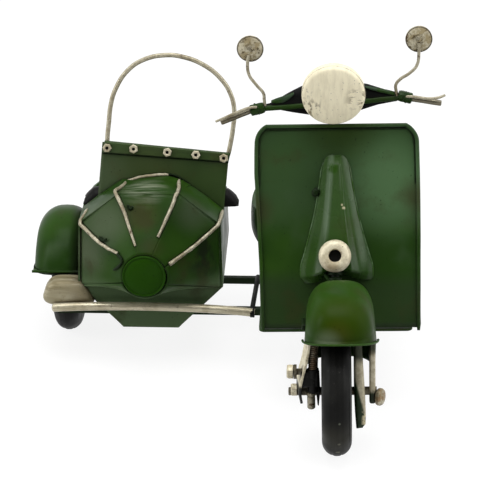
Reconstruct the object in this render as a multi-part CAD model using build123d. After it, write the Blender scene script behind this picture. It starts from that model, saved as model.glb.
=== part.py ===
from build123d import *
import math
import os

# Pressed-tin shelf model of a motor scooter with a sidecar, standing on its three wheels.
# Millimetres, +Z up, ground at Z = 0. The scooter faces -Y, and its sidecar is on the -X side.
# Scooter frame: X from the scooter's middle plane, Y back from the front axle, Z up.
# Tub frame: X from the tub's middle plane, Y back from the nose rim, Z up.
# Heights of what stands over the wheels are measured from the wheels' top, heights of what is
# carried at an axle from the axle, and lengths of the rear half from the rear axle.

# ---- where the two halves stand in the part's frame ----
scooter_x = 52.6
front_axle_y = -95.8
scooter_lean = 1.4
wheel_track = 140.5

# ---- running gear ----
wheel_radius = 30.5
wheel_top = 2 * wheel_radius
tyre_section_radius = 7.0
tyre_seat_depth = 12.5
tyre_seat_radius = wheel_radius - tyre_seat_depth
rim_width = 9.0
rim_lip = 1.6
rim_web = 3.0
hub_radius = 5.0
hub_width = 12.4
axle_radius = 2.0
running_gap = 0.05
wheelbase = 183.0
sidecar_axle_lead = 44.0
sidecar_axle_y = wheelbase - sidecar_axle_lead

# ---- steering ----
rake = 27.0
column_radius = 2.0
head_tube_radius = 3.6
column_clearance = 0.4
steer_cross_s = 84.0

# ---- leg shield and floor ----
sheet = 1.0
shield_width = 80.0
shield_shift = 1.4
shield_draw_in = 2.6
shield_height = 99.0
shield_rake = 20.0
shield_foot_y = wheel_radius + 2.5
floor_top_z = wheel_top - 14.0
floor_thickness = 1.4
floor_width = 74.0
floor_back_y = wheelbase - 67.0
floor_corner = 3.0
shield_corner = 9.0
bead_width = 1.6
bead_proud = 1.1
rib_count = 5
rib_pitch = 12.0
rib_width = 2.0
rib_height = 1.0
spine_width = 9.0
spine_height = 8.0
wheel_gap = 2.5
spine_back_y = wheelbase - wheel_radius - wheel_gap

# ---- chassis of the sidecar ----
bar_front_y = sidecar_axle_y - 42.0
bar_front_depth = 4.0
bar_front_z = wheel_radius - 2.5
bar_front_height = 3.4
bar_rear_size = 3.4
bar_rear_z = wheel_radius - axle_radius - bar_rear_size / 2 + 0.5
rail_x = -42.5
rail_radius = 1.3
rail_back_y = sidecar_axle_y + 11.0
bumper_radius = 2.3
bumper_y = bar_front_y - 9.0
bumper_z = wheel_radius + 0.3
bumper_left_x = -wheel_track - 2.5
bumper_right_x = rail_x + 1.5
bumper_bow = 1.6
bumper_sag = 0.8

# ---- tub of the sidecar: it fills the room between the scooter and the sidecar's wheel ----
tub_room_right = 57.2
tub_room_wheel = 9.3
tub_half = (wheel_track - tub_room_wheel - tub_room_right) / 2
tub_x = scooter_x - tub_room_right - tub_half
tub_y = sidecar_axle_y - 45.0
tub_z = wheel_radius
tub_wall = 1.0
cockpit_front = 22.0
cockpit_back = 74.0
flank_low = 12.0
flank_z = 46.0
roof_z = 62.0
tub_floor_z = -11.0
flank_draft = 1.0
panel_rake = 10.0
panel_lean = 5.0
panel_room = 4.25
panel_width = 2 * (tub_half - panel_room)
panel_height = 32.0
panel_shift = 3.0
strip_height = 6.0
hoop_wire_radius = 1.3
hoop_leg = 26.0
cap_radius = 11.0
cap_forward = 21.0
cap_z = 26.0
cap_shift = -1.4
roof_half = 15.6
keel_half = 14.2
nose_half = tub_half - 1.5

# tub sections: back = distance behind the rim, low/high = half widths at the two corners of the
# flank, top/bottom = half widths of the roof and of the floor, then their heights from the axle
TUB_SECTIONS = {
    # name:   (back, low, high, top, bottom, z_floor, z_low, z_high, z_roof)
    "rim":     (0.0, tub_half, tub_half - flank_draft, roof_half, keel_half,
                tub_floor_z, flank_low, flank_z, roof_z),
    "dash":    (38.0, tub_half, tub_half - flank_draft, roof_half, keel_half,
                tub_floor_z, flank_low, flank_z, roof_z - 2.0),
    "cockpit": (78.0, tub_half, tub_half - flank_draft, roof_half, keel_half,
                tub_floor_z, flank_low, flank_z - 9.0, roof_z - 8.0),
    "tail":    (128.0, 15.0, 14.0, 7.0, 6.0, 3.5, 13.5, 29.5, 35.5),
}
NOSE_RIM = (0.0, nose_half, nose_half - flank_draft, roof_half, keel_half,
            tub_floor_z, flank_low, flank_z, roof_z)


# ================= helpers =================
def on_scooter(shape):
    """The scooter stands leaning a little towards its sidecar, about the line of its axles."""
    leaning = Pos(0, 0, wheel_radius) * Rot(0, -scooter_lean, 0) * Pos(0, 0, -wheel_radius)
    return Pos(scooter_x, front_axle_y, 0) * leaning * shape


def on_chassis(shape):
    """The sidecar's chassis is level, and uses the scooter's directions."""
    return Pos(scooter_x, front_axle_y, 0) * shape


def box(x0, x1, y0, y1, z0, z1):
    """A box from its low corner to its high corner."""
    size = (x1 - x0, y1 - y0, z1 - z0)
    return Pos((x0 + x1) / 2, (y0 + y1) / 2, (z0 + z1) / 2) * Box(*size)


def rod(start, end, radius):
    """A round bar between two points."""
    a = Vector(*start)
    d = Vector(*end) - a
    plane = Plane(origin=a, z_dir=d)
    return plane * Cylinder(radius, d.length, align=(Align.CENTER, Align.CENTER, Align.MIN))


def hull(points):
    return ConvexPolyhedron([Vector(*p) for p in points])


def bent_wire(points, bends, radius):
    """A round wire along straight runs joined by arcs."""
    path = FilletPolyline(*points, radius=bends)
    start = Plane(origin=path @ 0, z_dir=path % 0)
    return sweep(start * Circle(radius), path=path)


def save(name, shape):
    os.makedirs("parts", exist_ok=True)
    solids = shape.solids()
    whole = solids[0] if len(solids) == 1 else Compound(children=list(solids))
    export_step(whole, f"parts/{name}.step")


def xcyl(radius, x0, x1, y, z):
    return rod((x0, y, z), (x1, y, z), radius)


# ================= wheels =================
def tyre():
    ring = wheel_radius - tyre_section_radius
    body = Rot(0, 90, 0) * Torus(ring, tyre_section_radius)
    return body - Rot(0, 90, 0) * Cylinder(tyre_seat_radius, 4 * tyre_section_radius)


def rim():
    turn = Rot(0, 90, 0)
    disc = Cylinder(tyre_seat_radius, rim_width)
    dish = Cylinder(tyre_seat_radius - rim_lip, (rim_width - rim_web) / 2)
    for side in (-1, 1):
        disc -= Pos(0, 0, side * (rim_width + rim_web) / 4) * dish
    disc += Cylinder(hub_radius, hub_width)
    disc -= Cylinder(axle_radius + running_gap, 2 * hub_width)
    return turn * disc


def wheel(prefix, carrier, x, y):
    save(prefix + "_tyre", carrier(Pos(x, y, wheel_radius) * tyre()))
    save(prefix + "_rim", carrier(Pos(x, y, wheel_radius) * rim()))


wheel("front", on_scooter, 0, 0)
wheel("rear", on_scooter, 0, wheelbase)
wheel("sidecar", on_chassis, -wheel_track, sidecar_axle_y)


# ================= leg shield, horn cover, head tube =================
sr = math.radians(shield_rake)
ra = math.radians(rake)
shield_plane = Plane(
    origin=(0, shield_foot_y, floor_top_z),
    x_dir=(1, 0, 0),
    z_dir=(0, -math.cos(sr), math.sin(sr)),
)


def on_shield(x, s, off=0.0):
    """Point at x across, s up the sheet and off in front of it."""
    return shield_plane.from_local_coords(Vector(x, s, off))


cross = on_shield(0, steer_cross_s)
steer_dir = Vector(0, math.sin(ra), math.cos(ra))


def on_axis(z):
    return cross + steer_dir * ((z - cross.Z) / steer_dir.Z)


def along_axis(z0, z1, radius):
    a, b = on_axis(z0), on_axis(z1)
    return rod(tuple(a), tuple(b), radius)


bar_z = floor_top_z + 101.0
crown_low_z = wheel_top + 2.4
crown_high_z = crown_low_z + 3.2
column_top_z = bar_z + 1.0
column_foot_z = crown_high_z - 0.6
head_tube_low_z = floor_top_z + 27.5
head_tube_high_z = floor_top_z + 63.0
bead_overhang = 2.0
large = 400.0

with BuildSketch() as outline:
    shield_left = shield_shift - shield_width / 2
    shield_right = shield_shift + shield_width / 2
    with BuildLine():
        Polyline(
            (shield_left + shield_draw_in, -2 * bead_overhang), (shield_right, -2 * bead_overhang),
            (shield_right, shield_height), (shield_left, shield_height), close=True,
        )
    make_face()
    fillet(outline.vertices().group_by(Axis.Y)[-1], shield_corner)
    fillet(outline.vertices().group_by(Axis.Y)[0], bead_overhang)
inset = offset(outline.sketch, amount=-bead_width)
plate = extrude(outline.sketch, amount=-sheet)
bead = extrude(outline.sketch - inset, amount=bead_proud)
leg_shield = shield_plane * (plate + bead)
column_hole = along_axis(column_foot_z, column_top_z, column_radius + column_clearance)
leg_shield -= column_hole
leg_shield -= box(-large, large, -large, large, -large, floor_top_z)
save("leg_shield", on_scooter(leg_shield))

# horn cover outline: distance up the sheet, half width
COVER = (
    (22.5, 15.4), (25.5, 17.8), (31.0, 17.2), (44.0, 13.5),
    (56.0, 10.4), (70.0, 8.0), (80.0, 6.2), (84.5, 3.2),
)
cover_shift = 0.8
right = [(w, s) for s, w in COVER]
left = [(-w, s) for s, w in reversed(COVER)]
notch = [(-8.5, 25.0), (0, 29.0), (8.5, 25.0)]
cover_face = make_face(Polyline(*(right + left + notch), close=True).edges())
cover_deep = 13.0
cover_draft = 9.0
cover_front_gap = head_tube_radius + 1.0
cover = shield_plane * Pos(cover_shift, 0, 0) * extrude(cover_face, amount=cover_deep, taper=cover_draft)
front_cut = Plane(origin=on_axis(column_foot_z), x_dir=(1, 0, 0), z_dir=(0, -math.cos(ra), math.sin(ra)))
cover -= front_cut * Pos(0, 0, cover_front_gap + large / 2) * Box(large, large, large)
cover -= along_axis(wheel_radius, head_tube_high_z, head_tube_radius)
cover -= along_axis(wheel_radius, column_top_z, column_radius + column_clearance)
save("horn_cover", on_scooter(cover))

head_tube = along_axis(head_tube_low_z, head_tube_high_z, head_tube_radius)
head_tube -= along_axis(wheel_radius, column_top_z, column_radius + running_gap)
back_of_sheet = shield_plane * Pos(0, 0, -large / 2) * Box(large, large, large)
head_tube -= back_of_sheet
save("head_tube", on_scooter(head_tube))

horn_s = 34.3
horn_radius = 7.8
horn_bore_radius = 3.0
horn_depth = 3.4
horn_lift = 3.0
horn_edge_round = 2.4
horn_plane = Plane(
    origin=on_axis(on_shield(0, horn_s).Z + horn_lift) + front_cut.z_dir * cover_front_gap,
    x_dir=(1, 0, 0),
    z_dir=front_cut.z_dir,
)
horn = Cylinder(horn_radius, horn_depth, align=(Align.CENTER, Align.CENTER, Align.MIN))
horn = fillet(horn.edges().sort_by(Axis.Z)[-1], horn_edge_round)
horn -= Cylinder(horn_bore_radius, 4 * horn_depth)
save("horn_ring", on_scooter(horn_plane * horn))

# ================= floor, spine, body =================
floor_half = floor_width / 2
floor_low_z = floor_top_z - floor_thickness
floor = box(-floor_half, floor_half, shield_foot_y + sheet, floor_back_y, floor_low_z, floor_top_z)
floor = fillet(floor.edges().filter_by(Axis.Z), floor_corner)
rib_front = shield_foot_y + 8
rib_back = floor_back_y - 16
for i in range(rib_count):
    x = (i - (rib_count - 1) / 2) * rib_pitch
    floor += box(x - rib_width / 2, x + rib_width / 2, rib_front, rib_back, floor_top_z, floor_top_z + rib_height)
save("floorboard", on_scooter(floor))

spine_low = floor_low_z - spine_height
spine_front_y = shield_foot_y + 6
spine_half = spine_width / 2
foot_half = 3.0
foot_under = 1.0
spine = box(-spine_half, spine_half, spine_front_y, spine_back_y, spine_low, floor_low_z)
for y, z, h in ((bar_front_y, bar_front_z, bar_front_height), (sidecar_axle_y, bar_rear_z, bar_rear_size)):
    spine += box(-spine_half, spine_half, y - foot_half, y + foot_half, z - h / 2 - foot_under, spine_low)
save("spine_tube", on_scooter(spine))

# rear body: centre tunnel under the saddle, from the floor to the tail
BODY = (
    # (back from the rear axle, half width, low and high from the wheels' top)
    (-79.0, 13.0, -14.0, 3.0),
    (-61.0, 17.0, -14.0, 27.0),
    (-23.0, 19.0, 0.0, 24.0),
    (21.0, 15.0, 1.0, 15.0),
    (32.0, 10.0, 2.0, 11.0),
)
body_shoulder = 5.0
rear_wheel_gap = 4.0
rear_room_half = 9.5
body_shape = None
for front, back in zip(BODY, BODY[1:]):
    points = []
    for y, half, low, high in (front, back):
        y = wheelbase + y
        for x, z in ((half, low), (half, high - body_shoulder), (half - body_shoulder, high)):
            points += [(-x, y, wheel_top + z), (x, y, wheel_top + z)]
    piece = hull(points)
    body_shape = piece if body_shape is None else body_shape + piece
wheel_room = xcyl(wheel_radius + rear_wheel_gap, -rear_room_half, rear_room_half, wheelbase, wheel_radius)
body_shape -= wheel_room
save("rear_body", on_scooter(body_shape))

# side cowls: bulged cheeks, a rounded outline in side view under a spherical bulge
# its points are back from the rear axle and up from the wheels' top
COWL_OUTLINE = ((-71.0, -18.0), (23.0, -13.0), (25.0, 7.0), (-11.0, 20.0), (-59.0, 19.0))
cowl_corner = 11.0
cowl_inner_x = 19.0
cowl_outer_x = 44.0
cowl_draft = 24.0
cowl_bulge_radius = 62.0
cowl_middle = (wheelbase - 31.0, wheel_top - 1.0)
with BuildSketch() as cheek_outline:
    with BuildLine():
        Polyline(*[(wheelbase + y, wheel_top + z) for y, z in COWL_OUTLINE], close=True)
    make_face()
    fillet(cheek_outline.vertices(), cowl_corner)
cheek = extrude(cheek_outline.sketch, amount=cowl_outer_x - cowl_inner_x + 1, taper=cowl_draft)
cheek = Plane(origin=(cowl_inner_x, 0, 0), x_dir=(0, 1, 0), z_dir=(1, 0, 0)) * cheek
cheek &= Pos(cowl_outer_x - cowl_bulge_radius, *cowl_middle) * Sphere(cowl_bulge_radius)
cheek -= body_shape
save("cowl_right", on_scooter(cheek))
save("cowl_left", on_scooter(mirror(cheek, about=Plane.YZ)))

# saddles: a rider's saddle and a pillion pad on posts
SADDLES = (
    # (name, front and back from the rear axle, nose and back half widths,
    #  bottom from the wheels' top, thickness)
    ("rider_saddle", -77.0, -35.0, 7.0, 17.0, 35.0, 7.0),
    ("pillion_saddle", -30.0, 3.0, 9.0, 14.0, 25.0, 5.0),
)
seat_post_radius = 3.0
seat_post_foot_z = wheel_top + 9.0
saddle_corner = 6.0
saddle_rump = 14.0
for name, front, back, nose_w, back_w, low, thickness in SADDLES:
    y0, y1 = wheelbase + front, wheelbase + back
    rump = y1 - saddle_rump
    with BuildSketch() as seat:
        with BuildLine():
            Polyline(
                (-nose_w, y0), (nose_w, y0), (back_w, rump), (back_w, y1), (-back_w, y1), (-back_w, rump),
                close=True,
            )
        make_face()
        fillet(seat.vertices(), saddle_corner)
    seat_z = wheel_top + low
    pad = Pos(0, 0, seat_z) * extrude(seat.sketch, amount=thickness)
    pad = fillet(pad.edges().group_by(Axis.Z)[-1], 0.4 * thickness)
    save(name, on_scooter(pad))
    mid = (y0 + y1) / 2
    post = rod((0, mid, seat_post_foot_z), (0, mid, seat_z), seat_post_radius)
    save(name + "_post", on_scooter(post - body_shape))

# tail lamp on the body's end, the silencer under the right cowl
tail_y = wheelbase + BODY[-1][0]
lamp_middle_z = wheel_top + 7.0
tail_lamp_radius = 4.6
lamp = rod((0, tail_y - 9, lamp_middle_z), (0, tail_y + 5, lamp_middle_z), tail_lamp_radius) - body_shape
save("tail_lamp", on_scooter(lamp))
silencer_x = 24.0
silencer_radius = 6.0
tailpipe_radius = 2.2
hanger_half = 1.5
# along the silencer: back from the rear axle, up from the axle
silencer_front, silencer_back, pipe_root, pipe_end = (
    (silencer_x, wheelbase + y, wheel_radius + z)
    for y, z in ((-33.0, -0.5), (13.0, 3.5), (11.0, 3.3), (23.0, 5.5))
)
silencer = rod(silencer_front, silencer_back, silencer_radius)
silencer += rod(pipe_root, pipe_end, tailpipe_radius)
silencer += box(
    silencer_x - hanger_half, silencer_x + hanger_half, wheelbase - 23, wheelbase - 15,
    wheel_radius + 2.5, wheel_top - 9,
)
save("silencer", on_scooter(silencer - cheek))

# rear arm: two plates from the spine to the rear axle, with the axle between them
arm_inner_x = 8.4
arm_thickness = 2.4
arm_outer_x = arm_inner_x + arm_thickness
axle_end = arm_outer_x + 2.6
axle_boss_radius = 3.6
arm_front_y = spine_back_y - 7.5
arm_half = 5.0
arm = box(-arm_outer_x, arm_outer_x, arm_front_y, spine_back_y - 1, wheel_radius - arm_half, spine_low)
for side in (-1, 1):
    x0, x1 = sorted((side * arm_inner_x, side * arm_outer_x))
    arm += box(x0, x1, arm_front_y, wheelbase + arm_half, wheel_radius - arm_half, wheel_radius + arm_half)
    x0, x1 = sorted((side * arm_inner_x, side * axle_end))
    arm += xcyl(axle_boss_radius, x0, x1, wheelbase, wheel_radius)
arm += xcyl(axle_radius, -axle_end, axle_end, wheelbase, wheel_radius)
save("rear_arm", on_scooter(arm))

# ================= steering group =================
crown_left = 16.0
crown_right = 17.4
crown_depth = 9.0
stem_half = 4.0
stem_radius = 3.4
fender_top_z = wheel_top + 22.5
fender_low_z = wheel_radius - 0.5
fender_half_width = 17.0
fender_shift = 2.0
fender_front_y = -(wheel_radius - 4.5)
fender_back_y = shield_foot_y - 10.0
fender_wall = 0.9
fender_side_round = 14.0
fender_top_round = 13.0
fender_wheel_gap = 3.0


def rounded_block(x0, x1, y0, y1, z0, z1, side_round, top_round):
    """A block with rounded upright edges and a rounded top."""
    block = box(x0, x1, y0, y1, z0, z1)
    block = fillet(block.edges().filter_by(Axis.Z), side_round)
    return fillet(block.edges().group_by(Axis.Z)[-1], top_round)


def helmet(x0, x1, y0, y1, z0, z1, side_round, top_round, rim_points, wall):
    """A helmet fender: a rounded shell, open below along the rim."""
    outer = rounded_block(x0, x1, y0, y1, z0, z1, side_round, top_round)
    inner = rounded_block(
        x0 + wall, x1 - wall, y0 + wall, y1 - wall, z0 - 9, z1 - wall, side_round - wall, top_round - wall
    )
    lower = [(y0 - 9, z0 - 20)] + list(rim_points) + [(y1 + 9, z0 - 20)]
    cut_face = make_face(Polyline(*lower, close=True).edges())
    side_plane = Plane(origin=(x0 - 5, 0, 0), x_dir=(0, 1, 0), z_dir=(1, 0, 0))
    return outer - inner - side_plane * extrude(cut_face, amount=x1 - x0 + 10)


# the fender's lower edge in side view, from its front to its back
front_rim_line = (
    (fender_front_y - 9, wheel_top + 8.0), (-14.0, wheel_top + 1.7), (4.0, wheel_top - 2.5),
    (12.0, wheel_radius + 11.5), (fender_back_y + 9, wheel_radius + 7.5),
)
front_fender = helmet(
    fender_shift - fender_half_width, fender_shift + fender_half_width,
    fender_front_y, fender_back_y, fender_low_z, fender_top_z,
    fender_side_round, fender_top_round, front_rim_line, fender_wall,
)
stem_foot = on_axis(column_foot_z + 2)
crown = box(-crown_left, crown_right, -crown_depth / 2, crown_depth / 2, crown_low_z, crown_high_z)
crown += box(-stem_half, stem_half, 0, stem_foot.Y, crown_low_z, crown_high_z + 1.5)
crown += along_axis(crown_low_z + 1.5, crown_high_z + 7, stem_radius)
blade_half = 4.2
BLADE = (
    # (z, inner x, outer x)
    (crown_low_z + 1, 8.6, 12.0),
    (wheel_radius - 18.5, 9.0, 13.8),
)
blade_points = []
for z, inner_x, outer_x in BLADE:
    for x in (inner_x, outer_x):
        blade_points += [(x, -blade_half, z), (x, blade_half, z)]
blade = hull(blade_points)
front_axle_left = -23.6
front_axle_right = 18.6
axle_head_radius = 4.3
axle_head_depth = 3.6
axle_head_drop = 3.0
axle_nut_x = -20.2
axle_nut_radius = 3.9
axle_nut_depth = 3.2
axle_shank = xcyl(axle_radius, front_axle_left, front_axle_right, 0, wheel_radius)
head_z = wheel_radius - axle_head_drop
head_right = xcyl(axle_head_radius, front_axle_right, front_axle_right + axle_head_depth, 0, head_z)
nut_left = extrude(RegularPolygon(axle_nut_radius, 6), amount=axle_nut_depth)
nut_left = Pos(axle_nut_x, 0, wheel_radius) * Rot(0, -90, 0) * nut_left
front_axle = axle_shank + head_right + nut_left
fork = crown + blade - axle_shank
save("fork", on_scooter(fork))
front_fender -= crown
front_fender -= xcyl(wheel_radius + fender_wheel_gap, -10.0, 10.0, 0, wheel_radius)
save("front_fender", on_scooter(front_fender))
save("front_axle", on_scooter(front_axle))

column = along_axis(crown_high_z, column_top_z + 8, column_radius)
stay_half = 2.6
stay_inner_x = 15.6
stay_outer_x = 17.9
stay_right = box(stay_inner_x, stay_outer_x, -stay_half, stay_half, wheel_radius - 6, crown_low_z) - axle_shank
save("fender_stay", on_scooter(stay_right))
damper_x = -9.9
damper_y = -6.2
spring_radius = 2.4
damper_radius = 2.3
damper_rod_radius = 1.7
spring_high_z = crown_low_z - 5.4
spring_low_z = wheel_radius + 15.5
link_bolt_z = wheel_radius + 13.3
damper_low_z = wheel_radius + 1.5
damper_rod_z = wheel_radius - 6.0
below_crown = box(-large, large, -large, blade_half, -large, crown_low_z)
spring = rod((damper_x, damper_y, spring_low_z), (damper_x, damper_y, spring_high_z), spring_radius)
spring_hook = rod((damper_x, damper_y, spring_high_z - 1), (damper_x, damper_y + 2, crown_low_z), 1.4)
spring += spring_hook & below_crown
damper = rod((damper_x, damper_y, damper_low_z), (damper_x, damper_y, spring_low_z), damper_radius)
damper += rod((damper_x, damper_y, damper_rod_z), (damper_x, damper_y, damper_low_z), damper_rod_radius)
link_bolt_radius = 1.5
link_bolt_left = -23.0
link_nut_x = -19.6
link_nut_radius = 3.7
link_nut_depth = 3.0
link_bolt = xcyl(link_bolt_radius, link_bolt_left, damper_x - 1, damper_y, link_bolt_z)
link_nut = extrude(RegularPolygon(link_nut_radius, 6), amount=link_nut_depth)
link_nut = Pos(link_nut_x, damper_y, link_bolt_z) * Rot(0, -90, 0) * link_nut
save("front_spring", on_scooter(spring))
strip_half = 0.8
strip_front_y = -9.4
strip_back_y = 2.6
STRIP_ENDS = (
    # (x, z) of the link strip's two ends
    (-12.4, crown_low_z), (-18.6, wheel_radius - 5),
)
strip_points = []
for x, z in STRIP_ENDS:
    for side_x in (x - strip_half, x + strip_half):
        strip_points += [(side_x, strip_front_y, z), (side_x, strip_back_y, z)]
strip = hull(strip_points)
strip = strip - axle_shank - nut_left - link_bolt - link_nut
save("front_damper", on_scooter(damper + link_bolt + link_nut))
save("link_strip", on_scooter(strip))

# ---- headset ----
bar_y = on_axis(bar_z).Y
bar_radius = 1.4
bar_shift = -1.2
bar_half = 36.2
grip_length = 17.0
grip_droop = 14.5
bar_lean = 3.6
bar_wall_step = 0.15
collar_radius = 2.8
collar_out = 2.8
collar_in = 4.2
lamp_radius = 14.9
lamp_depth = 7.0
lamp_tilt = 9.0
lamp_y = shield_foot_y + 19.0
lamp_z = bar_z + 10.0
tilt = math.radians(lamp_tilt)
lamp_face = Plane(origin=(0, lamp_y, lamp_z), x_dir=(1, 0, 0), z_dir=(0, -math.cos(tilt), -math.sin(tilt)))
lean = Pos(bar_shift, bar_y, bar_z) * Rot(0, -bar_lean, 0) * Pos(0, -bar_y, -bar_z)
droop = math.radians(grip_droop)
bar = xcyl(bar_radius + bar_wall_step, -bar_half, bar_half, bar_y, bar_z)
collars = None
grips = None
for side in (-1, 1):
    mouth = Vector(side * bar_half, bar_y, bar_z)
    out = Vector(side * math.cos(droop), 0, -math.sin(droop))
    sleeve = xcyl(collar_radius, *sorted((side * (bar_half - collar_in), side * bar_half)), bar_y, bar_z)
    sleeve += Pos(*mouth) * Sphere(collar_radius)
    sleeve += rod(tuple(mouth), tuple(mouth + out * collar_out), collar_radius)
    collars = sleeve if collars is None else collars + sleeve
    grip = rod(tuple(mouth + out * collar_out), tuple(mouth + out * (collar_out + grip_length)), bar_radius)
    grips = grip if grips is None else grips + grip
pod_depth = 15.0
pod_drop = 9.0
pod_end_radius = 6.5
pod_lip = 1.2
pod = loft([
    (lamp_face * Pos(0, 0, -lamp_depth) * Circle(lamp_radius - pod_lip)).face(),
    (lamp_face * Pos(0, -pod_drop, -lamp_depth - pod_depth) * Circle(pod_end_radius)).face(),
])
WING_ENDS = (
    # (x, ahead of the bar, behind it, below it, above it)
    (6.0, 5.5, 5.0, 4.5, 10.0),
    (32.0, 2.4, 2.6, 2.4, 2.6),
)
wing_wall = 0.8
wings = None
for side in (-1, 1):
    outer_points = []
    inner_points = []
    for x, ahead, behind, below, above in WING_ENDS:
        grow = 1.0 if x > 20 else -1.0
        outer_points += [(side * x, bar_y + y, bar_z + z) for y in (-ahead, behind) for z in (-below, above)]
        inner_points += [
            (side * (x + grow), bar_y + y, bar_z + z)
            for y in (-ahead - 3.0, behind - wing_wall) for z in (-below + wing_wall, above - wing_wall)
        ]
    wing = hull(outer_points) - hull(inner_points)
    wings = wing if wings is None else wings + wing
wings = lean * wings
bar = lean * bar
collars = lean * collars
grips = lean * grips
cowl = pod + wings - bar - column - collars
column -= bar
lamp_block = lamp_face * Pos(0, 0, -lamp_depth / 2) * Cylinder(lamp_radius + 2, lamp_depth)
column -= lamp_block
save("headset_cowl", on_scooter(cowl))
save("handlebar", on_scooter(bar))
save("grips", on_scooter(grips))
save("bar_collars", on_scooter(collars - bar))
save("steering_column", on_scooter(column - crown))
cup = Cylinder(lamp_radius, lamp_depth, align=(Align.CENTER, Align.CENTER, Align.MAX))
lamp_edge_round = 0.8
cup = fillet(cup.edges().sort_by(Axis.Z)[-1], lamp_edge_round)
save("headlamp", on_scooter(lamp_face * cup))

# levers: thin wires ahead of the grips
lever_radius = 0.7
lever_reach = 4.8
# drop of each lever below the bar, half way and at its tip
LEVER_DROP = {-1: (2.4, 6.2), 1: (2.0, 0.3)}
levers = None
for side in (-1, 1):
    root_x = bar_half - 1.0
    half_drop, tip_drop = LEVER_DROP[side]
    points = [
        (side * root_x, bar_y, bar_z),
        (side * root_x, bar_y - lever_reach, bar_z),
        (side * (root_x + 11.5), bar_y - lever_reach, bar_z - half_drop),
        (side * (root_x + 20.5), bar_y - lever_reach, bar_z - tip_drop),
    ]
    piece = bent_wire(points, [2.0, 8.0], lever_radius)
    levers = piece if levers is None else levers + piece
save("levers", on_scooter(lean * levers - collars - bar - grips))

# mirrors: a bent stem with a domed disc
mirror_disc_radius = 6.6
mirror_disc_depth = 2.6
mirror_wire_radius = 0.8
mirror_root_x = 31.8
# stem points out from the root and up from the bar; the last is the disc's middle
MIRROR_STEMS = {
    "mirror_left": (-1, ((0.0, 1.0), (0.0, 5.0), (5.9, 16.0), (4.7, 30.2))),
    "mirror_right": (1, ((0.0, 1.0), (0.2, 6.0), (9.8, 14.8), (12.2, 28.8))),
}
mirror_bends = [3.0, 4.0]
for name, (side, stem_points) in MIRROR_STEMS.items():
    points = [(side * (mirror_root_x + out_x), bar_y, bar_z + up) for out_x, up in stem_points]
    stem = bent_wire(points, mirror_bends, mirror_wire_radius)
    disc = Pos(*points[-1]) * Rot(90, 0, 0) * Cylinder(mirror_disc_radius, mirror_disc_depth)
    save(name, on_scooter(lean * (stem + disc) - collars - bar - cowl))

# ================= sidecar =================
def section_points(row, back, inset=0.0):
    _, low, high, top, bottom, z_floor, z_low, z_high, z_roof = row
    points = []
    for half, z in (
        (low - inset, z_low), (high - inset, z_high),
        (top - inset / 2, z_roof - inset), (bottom - inset / 2, z_floor + inset),
    ):
        points += [(-half, back, z), (half, back, z)]
    return points


names = list(TUB_SECTIONS)
tub_outer = None
tub_inner = None
for a, b in zip(names, names[1:]):
    row_a, row_b = TUB_SECTIONS[a], TUB_SECTIONS[b]
    outer_piece = hull(section_points(row_a, row_a[0]) + section_points(row_b, row_b[0]))
    back = row_b[0] - (2 * tub_wall if b == "tail" else 0)
    front = row_a[0] - (tub_wall if a == "rim" else 0)
    inner_piece = hull(section_points(row_a, front, tub_wall) + section_points(row_b, back, tub_wall))
    tub_outer = outer_piece if tub_outer is None else tub_outer + outer_piece
    tub_inner = inner_piece if tub_inner is None else tub_inner + inner_piece
pr = math.radians(panel_rake)
panel_plane = Plane(
    origin=(panel_shift, cockpit_front, flank_z), x_dir=(1, 0, 0), z_dir=(0, -math.cos(pr), math.sin(pr))
)
behind_panel = panel_plane * Pos(0, 0, -large / 2) * Box(large, large, large)
opening = behind_panel & box(-large, large, 0, cockpit_back, flank_z, large)
tub = tub_outer - tub_inner - opening
place = Pos(tub_x, front_axle_y + tub_y, tub_z)
save("tub", place * tub)

fold_z = flank_low
fold_lap = 2.0
cap_ring = cap_radius + 0.5
CAP_ANGLES = (145.0, 107.0, 70.0, 25.0, -20.0, 200.0)
cap_points = []
for angle in CAP_ANGLES:
    t = math.radians(angle)
    cap_points.append((cap_shift + cap_ring * math.cos(t), -cap_forward, cap_z + cap_ring * math.sin(t)))
nose_outer = hull([p for p in section_points(NOSE_RIM, 0.0) if p[2] >= fold_z] + cap_points)
nose_inner = hull(
    [p for p in section_points(NOSE_RIM, 0.5, tub_wall) if p[2] >= fold_z]
    + [(x * 0.9, y + 1.2 * tub_wall, cap_z + (z - cap_z) * 0.9) for x, y, z in cap_points]
)
lap_half = nose_half - 0.3
lap_z = fold_z + fold_lap
lower_outline = Polyline(
    (-keel_half, tub_floor_z), (keel_half, tub_floor_z), (nose_half, fold_z), (lap_half, lap_z),
    (-lap_half, lap_z), (-nose_half, fold_z), close=True,
)
lower_face = make_face(lower_outline.edges())
front_view = Plane(origin=(0, 0, 0), x_dir=(1, 0, 0), z_dir=(0, -1, 0))
nose = nose_outer - nose_inner + front_view * extrude(lower_face, amount=tub_wall)
save("nose", place * nose)
cap_depth = 1.6
cap_disc = Cylinder(cap_radius, cap_depth, align=(Align.CENTER, Align.CENTER, Align.MIN))
cap_disc = front_view * Pos(cap_shift, cap_z, cap_forward) * cap_disc
save("nose_cap", place * cap_disc)

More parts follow.
